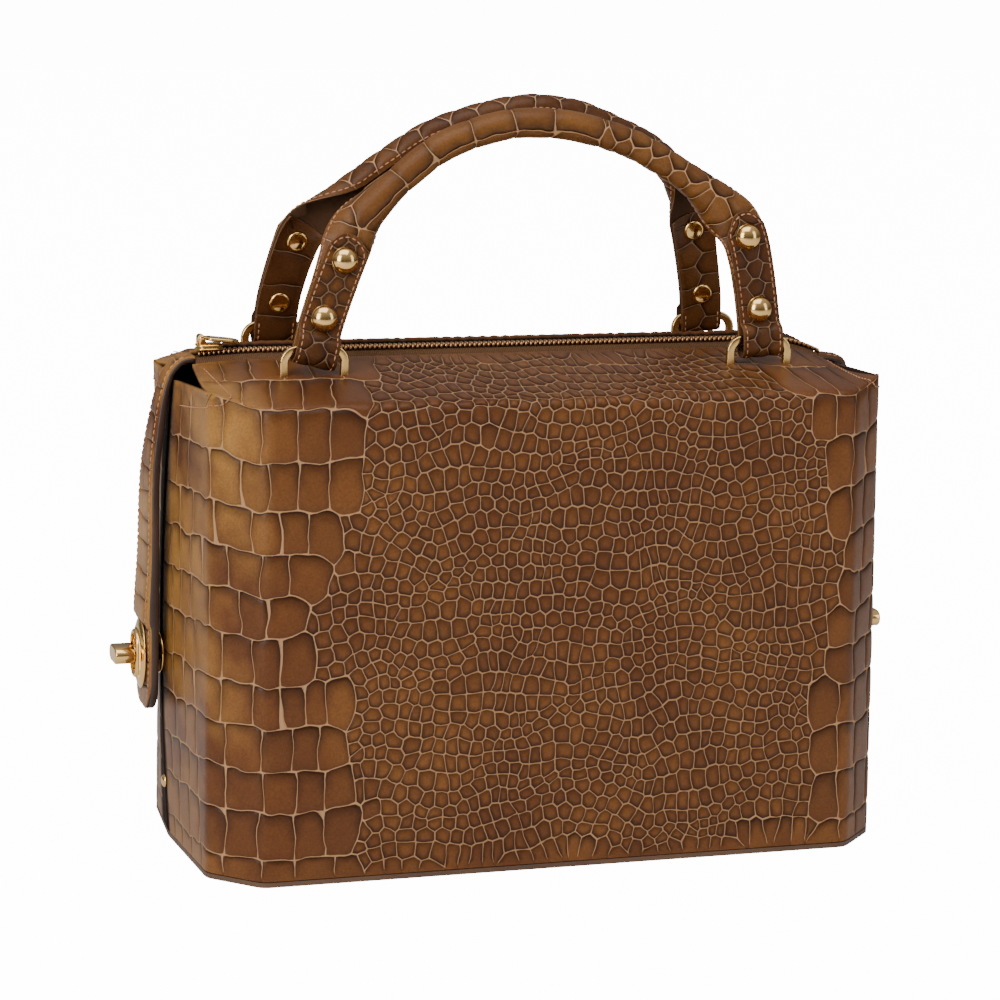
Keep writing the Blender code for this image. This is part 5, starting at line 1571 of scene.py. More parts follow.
# Lengthwise lines between the long scales of the front handle, as shares of half the strap's width
LONG_SCALE_LINES = (-1.0, -0.60, 0.17, 0.66, 1.0)
# Half the girth of the rolled handle, which its scales are laid out on
ROLLED_HALF = 0.0148


def build_handle(side):
    """A handle: outer leather over its whole length, lining leather on both strap ends, and its stitching."""
    ribbon, marks = handle_ribbon(side)
    total = ribbon.s[-1]
    start, end = marks["left_turn"] + 0.006, marks["right_turn"] - 0.006
    tube_start, tube_end = marks["left"] - 0.016, marks["right"] + 0.012
    span = tube_end - tube_start
    seeds = []
    shape = (ribbon.s, ribbon.middle, ribbon.across, ribbon.normal, ribbon.width, ribbon.turn)
    skin = Ribbon(*shape, ROLLED_HALF, STRAP_THICKNESS)
    if side == "front":
        joint = tube_start + span * 0.66
        bands = ((start, tube_start, 0.0092, 2), (joint, tube_end, 0.0095, 4), (tube_end, end, 0.0092, 2))
        count = round((joint - tube_start) / 0.0205)
        wobble = np.random.default_rng(8).uniform(-0.0012, 0.0012, count + 1)
        edges = np.linspace(tube_start, joint, count + 1) + wobble
        lines = np.array(LONG_SCALE_LINES) * skin.half
        for i, (a, b) in enumerate(zip(edges[:-1], edges[1:])):
            for j, (near, far) in enumerate(zip(lines[:-1], lines[1:])):
                seeds += box_seeds(a, b, near, far, i * 10 + j)
    else:
        bands = ((start, tube_start, 0.0170, 1), (tube_start, tube_end, 0.0118, 4))
        bands += ((tube_end, end, 0.0100, 2),)
    small = ribbon_seeds(skin.half, bands, 41 if side == "front" else 43)
    seeds += [(s, v, 1000 + i) for i, (s, v) in enumerate(small)]
    seeds = np.array(seeds)
    finish = f"handle_{side}"
    pieces = [ribbon_leather(f"handle_{side}_outside", skin, seeds, start, end, None, finish, 1, seed=7)]
    ends = (("left", 0.0, marks["left"] - 0.030, 52), ("right", marks["right"] + 0.030, total, 51))
    for name, low, high, number in ends:
        middle = marks["left_turn"] if name == "left" else marks["right_turn"]
        lining = (0.0170, 1) if (side, name) == ("back", "left") else (0.0100, 2)
        bands = ((low, middle, 0.0080, 3), (middle, high, *lining))
        if name == "right":
            bands = ((low, middle, *lining), (middle, high, 0.0080, 3))
        seeds = ribbon_seeds(ribbon.half, bands, number)
        limits = round_end_limits(total, ribbon.half)
        piece_name = f"handle_{side}_tab_{name}"
        pieces.append(ribbon_leather(piece_name, ribbon, seeds, low, high, limits, "tab", -1, seed=9))
    for piece in pieces:
        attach(piece, "bag")
        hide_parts(f"handle_{side}")
    rows = []
    half, inset = ribbon.half, 0.0016
    for flip in (False, True):
        turn_end = (marks["left_turn"] if not flip else total - marks["right_turn"]) + 0.012
        arc = np.radians(np.arange(0, 91, 6))
        s_line = np.concatenate([half - (half - inset) * np.cos(arc), np.linspace(half, turn_end, 60)[1:]])
        v_line = np.concatenate([(half - inset) * np.sin(arc), np.full(59, half - inset)])
        s_all = np.concatenate([s_line[::-1], s_line[1:]])
        v_all = np.concatenate([v_line[::-1], -v_line[1:]])
        s_all = total - s_all if flip else s_all
        rows.append(ribbon_line(ribbon, s_all, v_all, -1))
    for sign in (-1, 1):
        s_line = np.linspace(marks["left_turn"] + 0.014, marks["right_turn"] - 0.014, 260)
        rows.append(ribbon_line(ribbon, s_line, np.full(260, sign * (half - 0.0010)), 1))
    thread = stitches(f"handle_{side}_stitching", rows)
    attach(thread, "bag")


class HANDBAG_OT_handles(bpy.types.Operator):
    """Two rolled handles with their strap ends, linings and stitching"""

    bl_idname = "handbag.handles"
    bl_label = "Handles"

    def execute(self, context):
        build_handle("front")
        build_handle("back")
        return {"FINISHED"}


# Metal fittings


def soften(profile, radius, steps=3, closed=False):
    """Rounds the corners of a flat line: each becomes a short curve (1-t)(1-t)a + 2t(1-t)p + tt b."""
    points = [np.array(p, float) for p in profile]
    out = []
    for i, p in enumerate(points):
        if not closed and i in (0, len(points) - 1):
            out.append(p)
            continue
        a, b = points[i - 1] - p, points[(i + 1) % len(points)] - p
        reach = min(radius, 0.45 * np.linalg.norm(a), 0.45 * np.linalg.norm(b))
        a, b = p + a / np.linalg.norm(a) * reach, p + b / np.linalg.norm(b) * reach
        out += [(1 - t) ** 2 * a + 2 * t * (1 - t) * p + t * t * b for t in np.linspace(0, 1, steps + 1)]
    return np.array(out)


def solid(name, parts, key, body, replaces=()):
    """One object from closed parts, each (points, faces), with all its faces turned outwards."""
    points, faces, start = [], [], 0
    for part_points, part_faces in parts:
        part_points = np.asarray(part_points, float)
        volume = 0.0
        for face in part_faces:
            corners = part_points[list(face)]
            for k in range(1, len(corners) - 1):
                volume += np.dot(corners[0], np.cross(corners[k], corners[k + 1]))
        turned = [list(f)[::-1] for f in part_faces] if volume < 0 else [list(f) for f in part_faces]
        faces += [[v + start for v in f] for f in turned]
        points.append(part_points)
        start += len(part_points)
    obj = make_mesh(name, np.concatenate(points), faces, material(key))
    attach(obj, body)
    if replaces:
        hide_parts(*replaces)
    return obj


def loft(rings, ring=False):
    """Points and faces of a body through rings of equal count, closed on itself or with fans at both ends."""
    rings = np.asarray(rings, float)
    rows, columns = rings.shape[:2]
    points = rings.reshape(-1, 3)
    faces = [tuple(f) for f in grid_faces(rows, columns, wrap=True)]
    if ring:
        for c in range(columns):
            n = (c + 1) % columns
            faces.append(((rows - 1) * columns + c, (rows - 1) * columns + n, n, c))
        return points, faces
    total = len(points)
    points = np.vstack([points, rings[0].mean(0), rings[-1].mean(0)])
    for c in range(columns):
        n = (c + 1) % columns
        faces.append((n, c, total))
        faces.append(((rows - 1) * columns + c, (rows - 1) * columns + n, total + 1))
    return points, faces


def lathe(profile, centre, axes, sides=40, ring=False):
    """A body of revolution. Profile rows are (radius, place along the last axis)."""
    profile = np.asarray(profile, float)
    angle = np.arange(sides) * math.tau / sides
    first, second, axis = np.asarray(axes, float)
    around = np.cos(angle)[:, None] * first + np.sin(angle)[:, None] * second
    rings = np.asarray(centre) + profile[:, 0, None, None] * around[None]
    return loft(rings + (profile[:, 1, None] * axis)[:, None, :], ring)


def round_angles(count):
    """Angles of points evenly round a circle, none of them on an axis."""
    return (np.arange(count) + 0.5) * math.tau / count


def oval(width, height, count=56):
    """Oval outline (width / 2 cos a, height / 2 sin a)."""
    a = round_angles(count)
    return np.column_stack([width / 2 * np.cos(a), height / 2 * np.sin(a)])


def slot_outline(width, height, count=56):
    """Upright slot outline with round ends."""
    a = round_angles(count)
    half = width / 2
    return np.column_stack([half * np.cos(a), half * np.sin(a) + np.sign(np.sin(a)) * (height - width) / 2])


END_STRAP_WIDTH, END_STRAP_NECK, END_STRAP_THICKNESS, END_STRAP_CROWN = 0.029, 0.0112, 0.0028, 0.0006
END_STRAP_FOOT, END_STRAP_TOP, STRAP_CLEAR = 0.0585, 0.2121, 0.0050
TAPE_HALF_LENGTH = 0.1445
LOCK_HEIGHT = 0.0830
LOCK_PLATE = (0.022, 0.031, 0.0019)
LOCK_SLOT = (0.0092, 0.0172)
LOCK_RIM, LOCK_RIM_RISE = 0.0022, 0.0017
LOCK_BASE_DIAMETER, LOCK_BASE_THICKNESS, LOCK_BARREL = 0.018, 0.0012, 0.0074
LOCK_STEM, LOCK_STEM_SEAT, RUNNING_GAP = 0.0044, 0.0075, 0.0002
TOGGLE_LENGTH, TOGGLE_HEIGHT, TOGGLE_DEPTH, TOGGLE_BEVEL = 0.0145, 0.0074, 0.0086, 0.0008
STUD_HEIGHT, STUD_HEAD, STUD_DOME, STUD_SHANK, STUD_LENGTH = 0.025, 0.0056, 0.0016, 0.0018, 0.004

# Middle line of an end strap: share of the way out, share of the way up, share of the widening
END_STRAP_LINE = (
    (0, 1, 0), (0.141, 1.002, 0), (0.283, 0.995, 0), (0.419, 0.979, 0.03), (0.571, 0.949, 0.07),
    (0.712, 0.892, 0.18), (0.810, 0.833, 0.32), (0.900, 0.765, 0.50), (0.963, 0.693, 0.68),
    (0.990, 0.628, 0.82), (1, 0.530, 0.96), (1, 0.400, 1), (1, 0.240, 1), (1, 0.12, 1), (1, 0.0, 1),
)


def hanging_line_x():
    """Distance from the middle at which an end strap hangs, past the bowed lip of the groove."""
    return HALF_LENGTH + BOW_AT_BASE + BOW_RISE + STRAP_CLEAR


def strap_outer_x():
    """Distance from the middle to the outer face of an end strap."""
    return hanging_line_x() + END_STRAP_THICKNESS + END_STRAP_CROWN


def lock_rim_top_x():
    """Distance from the middle to the top of a lock's raised rim."""
    return strap_outer_x() + FIT_GAP + LOCK_PLATE[2] + LOCK_RIM_RISE


def lean_at(side, height):
    """How far an end leans in at a height."""
    return END_LEAN[side] * bend_share(height)


def end_axes(side, height):
    """Origin on the middle line at this height and axes whose last one points out of the end."""
    sign = -1 if side == "left" else 1
    axes = np.array(((0, 1, 0), (0, 0, 1), (sign, 0, 0)), float)
    return np.array((-sign * lean_at(side, height), 0.0, height)), axes


def end_loft(side, height, section, ring=False):
    """A loft of outlines (across, up) set at distances out of an end."""
    centre, axes = end_axes(side, height)
    rings = [centre + line @ axes[:2] + axes[2] * x for line, x in section]
    return loft(rings, ring)


def build_lock(side):
    """Turn lock: foot plate with barrel, domed oval plate with a raised rim, turning bar, and the stud."""
    centre, axes = end_axes(side, LOCK_HEIGHT)
    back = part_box(f"lock_base_{side}")
    back = min(abs(back[0][0] - centre[0]), abs(back[1][0] - centre[0]))
    face, end = back + LOCK_BASE_THICKNESS, lock_rim_top_x()
    disc, barrel, bore = LOCK_BASE_DIAMETER / 2, LOCK_BARREL / 2, LOCK_STEM / 2 + RUNNING_GAP
    bottom = end - LOCK_STEM_SEAT
    profile = ((0.0002, back), (disc, back), (disc, face), (barrel, face))
    profile += ((barrel, end), (bore, end), (bore, bottom), (0.0002, bottom))
    foot = lathe(soften(profile, 0.0004, 2), centre, axes)
    solid(f"lock_foot_{side}", [foot], "gold", "bag", [f"lock_base_{side}"])
    back = strap_outer_x() + FIT_GAP
    thickness = LOCK_PLATE[2]
    face = back + thickness
    outer = oval(*LOCK_PLATE[:2])
    slot = slot_outline(*LOCK_SLOT)
    rim = slot_outline(LOCK_SLOT[0] + 2 * LOCK_RIM, LOCK_SLOT[1] + 2 * LOCK_RIM)
    section = [(outer * 0.97, back), (outer, back + 0.0002), (outer, back + 0.3 * thickness)]
    for t in np.linspace(0.06, 1.0, 7):
        dome = 0.38 + 0.62 * math.sin(t * math.pi / 2) ** 1.2
        section.append((outer * (1 - t) + rim * t, back + thickness * dome))
    for a in np.radians(np.arange(0, 181, 22.5)):
        t = 0.5 - 0.5 * math.cos(a)
        rise = LOCK_RIM_RISE * math.sin(a) ** 0.8 if a < 3.1 else 0.0
        section.append((rim * (1 - t) + slot * t, face + rise))
    section.append((slot, back))
    plate = end_loft(side, LOCK_HEIGHT, section, True)
    solid(f"lock_oval_{side}", [plate], "gold", "bag", [f"lock_plate_{side}"])
    root = end + FIT_GAP
    tip = root + TOGGLE_DEPTH
    half_y, half_z = TOGGLE_LENGTH / 2, TOGGLE_HEIGHT / 2
    a = round_angles(56)
    stem = oval(LOCK_STEM, LOCK_STEM)

    def bar(inset):
        z = half_z - inset
        return np.column_stack([z * np.cos(a) + np.sign(np.cos(a)) * (half_y - half_z), z * np.sin(a)])

    bevel = TOGGLE_BEVEL
    section = [(stem, root - LOCK_STEM_SEAT + 2 * FIT_GAP), (stem, root + 0.0001)]
    section.append((bar(0.7 * bevel), root + 0.0001))
    for t in np.radians((20, 50, 80)):
        section.append((bar(bevel * 0.7 * (1 - math.sin(t))), root + 0.7 * bevel * (1 - math.cos(t))))
    for t in np.radians((5, 30, 60, 85)):
        section.append((bar(bevel * (1 - math.cos(t))), tip - bevel + bevel * math.sin(t)))
    section.append((bar(bevel * 1.6), tip))
    turning = end_loft(side, LOCK_HEIGHT, section)
    solid(f"lock_bar_{side}", [turning], "gold", f"turn_lock_{side}", [f"lock_toggle_{side}"])
    centre, axes = end_axes(side, STUD_HEIGHT)
    low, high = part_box(f"stud_{side}")
    tip = max(abs(low[0] - centre[0]), abs(high[0] - centre[0]))
    root = tip - STUD_DOME
    profile = [(STUD_SHANK / 2, root - STUD_LENGTH), (STUD_SHANK / 2, root), (STUD_HEAD / 2, root)]
    for t in np.radians((6, 20, 40, 60, 78)):
        profile.append((STUD_HEAD / 2 * math.cos(t), root + STUD_DOME * math.sin(t)))
    solid(f"foot_stud_{side}", [lathe(profile, centre, axes, 28)], "gold", "bag", [f"stud_{side}"])


def rivet_place(side, end, level):
    """Middle of the inner leaf at a rivet, and the rivet's axes with the outward one last."""
    origin, along, up_axis, outward = handle_frame(side)
    line = Line(smooth_line(np.array(HANDLE_LINE[side]) * (LOOP_X, HANDLE_RISE), 16))
    distance = LOWER_RIVET + (RIVET_PITCH[f"{side}_{end}"] if level == "upper" else 0.0)
    place = line.place(distance if end == "left" else line.length - distance)
    axes = np.array([along, np.cross(outward, along), outward])
    return origin + place[0] * along + place[1] * up_axis, axes


def build_rivet(side, end, level):
    """Domed rivet: flat cap inside, shank through both leaves, and a polished dome with a thin foot ring."""
    centre, axes = rivet_place(side, end, level)
    inner = -STRAP_THICKNESS / 2 - FIT_GAP
    outer = 1.5 * STRAP_THICKNESS + 2 * FIT_GAP
    cap, shank, head = 0.58 * RIVET_CAP, RIVET_SHANK / 2, 0.56 * RIVET_HEAD
    flat = inner - 0.8 * RIVET_CAP_HEIGHT
    profile = [(0.70 * cap, flat + 0.0001), (0.76 * cap, flat - 0.0001), (0.88 * cap, flat)]
    profile += [(0.97 * cap, flat + 0.0003), (cap, flat + 0.0006), (cap, inner)]
    profile += [(shank, inner), (shank, outer), (head, outer), (head, outer + 0.0003)]
    profile.append((0.95 * head, outer + 0.0004))
    for t in np.radians((8, 20, 33, 46, 59, 72, 83)):
        profile.append((0.95 * head * math.cos(t), outer + 0.0004 + (RIVET_DOME - 0.0004) * math.sin(t)))
    parts = [lathe(profile, centre, axes, 36)]
    solid(f"rivet_dome_{side}_{end}_{level}", parts, "gold", "bag", [f"rivet_{side}_{end}_{level}"])


def build_loop(side, end):
    """Staple of flat gold strip with rounded edges, bent in two rounds, its legs through the top piece."""
    y = LOOP_Y * (-1 if side == "front" else 1)
    x = LOOP_X * (-1 if end == "left" else 1)
    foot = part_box(f"loop_{side}_{end}")[0][2]
    half, thick = LOOP_STRIP / 2, LOOP_THICKNESS / 2
    reach, top, bend = (LOOP_WIDTH - LOOP_STRIP) / 2, LOOP_TOP - half, LOOP_BEND - half
    line = [(-reach, foot), (-reach, foot + 0.3 * (top - bend - foot))]
    for a in np.linspace(0, math.pi / 2, 13):
        line.append((-reach + bend - bend * math.cos(a), top - bend + bend * math.sin(a)))
    line = np.array(line + [(-p, q) for p, q in reversed(line)])
    section = soften(((-half, -thick), (half, -thick), (half, thick), (-half, thick)), 0.0007, 3, closed=True)
    rings = []
    for i, p in enumerate(line):
        ahead = line[min(i + 1, len(line) - 1)] - line[max(i - 1, 0)]
        ahead = ahead / np.linalg.norm(ahead)
        place = p + np.outer(section[:, 0], (ahead[1], -ahead[0]))
        rings.append(np.column_stack([x + place[:, 0], y + section[:, 1], place[:, 1]]))
    solid(f"staple_{side}_{end}", [loft(rings)], "gold", "bag", [f"loop_{side}_{end}"])


SLIDER_X = 0.1375
SLIDER = (0.012, 0.0088, 0.0028)
PULL_PIN, PULL_BARREL, PULL_ROOT_WIDTH = 0.0013, 0.0034, 0.0042
PULL = (0.0165, 0.0082, 0.0016)
EAR_THICKNESS, EAR_LENGTH = 0.0011, 0.003
PULL_AXIS = (-0.1411, 0.2195)
# How far the pull sinks towards its tip, as a share of the way
PULL_DROOP = 0.115
# Outlines of the slider from its foot up: share of its plan, height
SLIDER_LEVELS = (
    (0.90, 0.0), (0.97, 0.00012), (1.0, 0.0004), (0.97, 0.0008), (0.86, 0.0009), (0.84, 0.0012),
    (0.86, 0.0015), (0.97, 0.0016), (1.0, 0.0019), (0.97, 0.0023), (0.88, 0.0026), (0.6, 0.00278),
    (0.2, 0.0028),
)


def build_slider():
    """Slider of two rounded plates with a waist, ears and pin, and the pull that swings on the pin."""
    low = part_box("zip_slider")[0][2]
    x, z = PULL_AXIS
    a = round_angles(48)
    waves = (np.cos(a), np.sin(a))
    plan = np.column_stack([np.sign(t) * np.abs(t) ** 0.62 * size / 2 for t, size in zip(waves, SLIDER)])
    plan[:, 1] *= 1 - 0.10 * plan[:, 0] / (SLIDER[0] / 2)
    rings = [np.column_stack([plan * k, np.full(48, h)]) + (-SLIDER_X, 0, low) for k, h in SLIDER_LEVELS]
    parts = [loft(rings)]
    inner = PULL_ROOT_WIDTH / 2 + FIT_GAP
    for sign in (-1, 1):
        t = np.linspace(0, math.pi, 14)
        arch = [(x + EAR_LENGTH / 2, low + 0.0022)]
        arch += [(x + EAR_LENGTH / 2 * math.cos(v), z + EAR_LENGTH / 2 * math.sin(v)) for v in t]
        arch = np.array([*arch, (x - EAR_LENGTH / 2, low + 0.0022)])
        middle = arch.mean(0)
        rings = []
        for share, y in ((0.86, 0.0), (1.0, 0.00018), (1.0, EAR_THICKNESS - 0.0003), (0.86, EAR_THICKNESS)):
            line = middle + (arch - middle) * share
            rings.append(np.column_stack([line[:, 0], np.full(len(arch), sign * (inner + y)), line[:, 1]]))
        parts.append(loft(rings))
    axes = ((1, 0, 0), (0, 0, 1), (0, 1, 0))
    reach = inner + EAR_THICKNESS / 2
    parts.append(lathe(((PULL_PIN / 2, -reach), (PULL_PIN / 2, reach)), (x, 0, z), axes, 20))
    solid("slider_body", parts, "gold", "bag", ["zip_slider"])
    bore = PULL_PIN / 2 + RUNNING_GAP
    wide = PULL_ROOT_WIDTH / 2
    barrel = ((bore, -wide), (PULL_BARREL / 2, -wide), (PULL_BARREL / 2, wide), (bore, wide))
    parts = [lathe(soften(barrel, 0.0003, 2, closed=True), (x, 0, z), axes, 28, ring=True)]
    inside, root = (bore + PULL_BARREL / 2) / 2, PULL_ROOT_WIDTH * 0.45
    shoulder, end = PULL_BARREL / 2 + EAR_LENGTH / 2, PULL[0] - PULL[1] / 2
    outline = [(inside, -root), (PULL_BARREL / 2, -root), (shoulder, -PULL[1] / 2)]
    for t in np.linspace(-math.pi / 2, math.pi / 2, 15):
        outline.append((end + PULL[1] / 2 * math.cos(t), PULL[1] / 2 * math.sin(t)))
    outline += [(shoulder, PULL[1] / 2), (PULL_BARREL / 2, root), (inside, root)]
    outline = soften(outline, 0.0008, 2, closed=True)
    middle = np.array((0.6 * PULL[0], 0.0))
    half = PULL[2] / 2
    stack = ((0.90, -half), (0.97, -half + 0.0001), (1.0, -half + 0.0004), (1.0, half - 0.0004))
    stack += ((0.97, half - 0.0001), (0.90, half), (0.72, half), (0.66, half - 0.0003), (0.3, half - 0.0003))
    rings = []
    for share, h in stack:
        line = middle + (outline - middle) * share
        line[:, 0] = np.maximum(line[:, 0], inside)
        droop = PULL_DROOP * np.maximum(line[:, 0] - 0.001, 0.0)
        rings.append(np.column_stack([x + line[:, 0], line[:, 1], z + h - droop]))
    parts.append(loft(rings))
    solid("pull_tongue", parts, "gold", "pull", ["zip_pull"])


TEETH_TOP, TEETH_HALF_WIDTH, TEETH_PITCH = 0.2146, 0.0027, 0.00215
# A tooth's half width and half height, its middle below the row's top, and its reach along the zip
TOOTH_RADII, TOOTH_DROP, TOOTH_REACH = (0.00072, 0.00108), 0.00075, 0.0011


def build_teeth():
    """Closed zip teeth as one mesh: short rounded bars from both sides, slanted, meeting in chevrons."""
    count = int(2 * (TAPE_HALF_LENGTH - 0.0008) / TEETH_PITCH)
    x = np.arange(count) * TEETH_PITCH - (count - 1) * TEETH_PITCH / 2
    shape = np.array([(0.0, 0.45), (0.06, 0.85), (0.2, 1.0), (0.8, 1.0), (0.94, 0.85), (1.0, 0.45)])
    sides = 8
    angle = np.arange(sides) * math.tau / sides
    points, faces, start = [], [], 0
    block = grid_faces(len(shape), sides, wrap=True)
    caps = [list(range(sides))[::-1], list(range((len(shape) - 1) * sides, len(shape) * sides))]
    t = shape[:, 0]
    for side in (-1, 1):
        slant = np.array((1.0, side * TEETH_HALF_WIDTH * 0.45 / TOOTH_REACH * 0.35, 0.0))
        slant /= np.linalg.norm(slant)
        ring = np.cos(angle)[None, :, None] * slant * TOOTH_RADII[0]
        ring = ring + np.sin(angle)[None, :, None] * np.array((0, 0, 1.0)) * TOOTH_RADII[1]
        for place in x + (0.25 * TEETH_PITCH if side > 0 else -0.25 * TEETH_PITCH):
            y = side * (TEETH_HALF_WIDTH * 0.96 * (1 - t) - 0.00030 * t)
            px = place + TOOTH_REACH * t
            z = TEETH_TOP - TOOTH_DROP - drop_at(px) + 0.0003 * np.sin(math.pi * t)
            body = np.column_stack([px, y, z])[:, None, :] + ring * shape[:, 1][:, None, None]
            points.append(body.reshape(-1, 3))
            turned = block[:, ::-1] if side < 0 else block
            faces += (turned + start).tolist()
            faces += [[v + start for v in (cap if side > 0 else cap[::-1])] for cap in caps]
            start += len(shape) * sides
    obj = make_mesh("teeth_row", np.concatenate(points), faces, material("teeth"))
    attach(obj, "bag")
    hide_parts("zip_teeth")


class HANDBAG_OT_fittings(bpy.types.Operator):
    """Gold fittings: staples, rivets, turn locks, studs, zip slider and pull, and the zip's teeth"""

    bl_idname = "handbag.fittings"
    bl_label = "Metal fittings"

    def execute(self, context):
        for side in ("front", "back"):
            for end in ("left", "right"):
                build_loop(side, end)
                build_rivet(side, end, "lower")
                build_rivet(side, end, "upper")
        build_lock("left")
        build_lock("right")
        build_slider()
        build_teeth()
        return {"FINISHED"}


# End straps


def end_strap_ribbon(side):
    """The strap from the end of the zip down over the groove: a ribbon that widens to its round foot."""
    sign = -1 if side == "left" else 1
    start = TAPE_HALF_LENGTH + FIT_GAP
    reach = hanging_line_x() + END_STRAP_THICKNESS / 2 - start
    rise = END_STRAP_TOP - END_STRAP_FOOT
    table = np.array(END_STRAP_LINE)
    lowered = float(drop_at(np.array(sign * start)))
    place = np.column_stack([
        start + reach * table[:, 0],
        END_STRAP_FOOT + rise * table[:, 1] - lowered * np.maximum(0, (table[:, 1] - 0.94) / 0.06),
        END_STRAP_NECK + (END_STRAP_WIDTH - END_STRAP_NECK) * table[:, 2],
    ])
    fine = smooth_line(place, 8)
    at_lock, at_top = lean_at(side, LOCK_HEIGHT), lean_at(side, BEND_HEIGHT)
    share = np.clip((fine[:, 1] - 1.3 * LOCK_HEIGHT) / (BEND_HEIGHT - 1.3 * LOCK_HEIGHT), 0, 1)
    fine[:, 0] -= at_lock + (at_top - at_lock) * share
    ahead = unit_rows(np.gradient(fine[:, :2], axis=0))
    zero = np.zeros(len(fine))
    middle = np.column_stack([sign * fine[:, 0], zero, fine[:, 1]])
    normal = np.column_stack([sign * -ahead[:, 1], zero, ahead[:, 0]])
    across = np.tile((0.0, float(sign), 0.0), (len(fine), 1))
    width, turn = np.minimum(fine[:, 2], END_STRAP_WIDTH), np.full(len(fine), np.radians(0.4))
    shape = (distance_along(middle), middle, across, normal, width, turn)
    return Ribbon(*shape, END_STRAP_WIDTH / 2, END_STRAP_THICKNESS)


# Cross lines of the end straps, as distances from the foot in millimetres
STRAP_CROSS_LINES = (11, 24, 37, 50, 62, 74, 85, 96, 107, 118, 129, 141, 153)


# An end strap's layers off its middle line: underside at the zip and how much lower it gets, top of the core,
# its rounded corners, and the leather over it in millimetres
CORE_LOW, CORE_DEEPER, CORE_TOP, CORE_CORNER, STRAP_COVER = -0.0014, -0.0011, 0.0007, 0.0006, 0.9
# Padding above the lock: distance of its foot above the lock's middle, height, reach up and reach down
PAD_FOOT, PAD_HEIGHT, PAD_UP, PAD_DOWN = 0.0165, 0.0022, 0.020, 0.0022
# Distance of the stitching from the edge
STRAP_SEAM = 0.0026


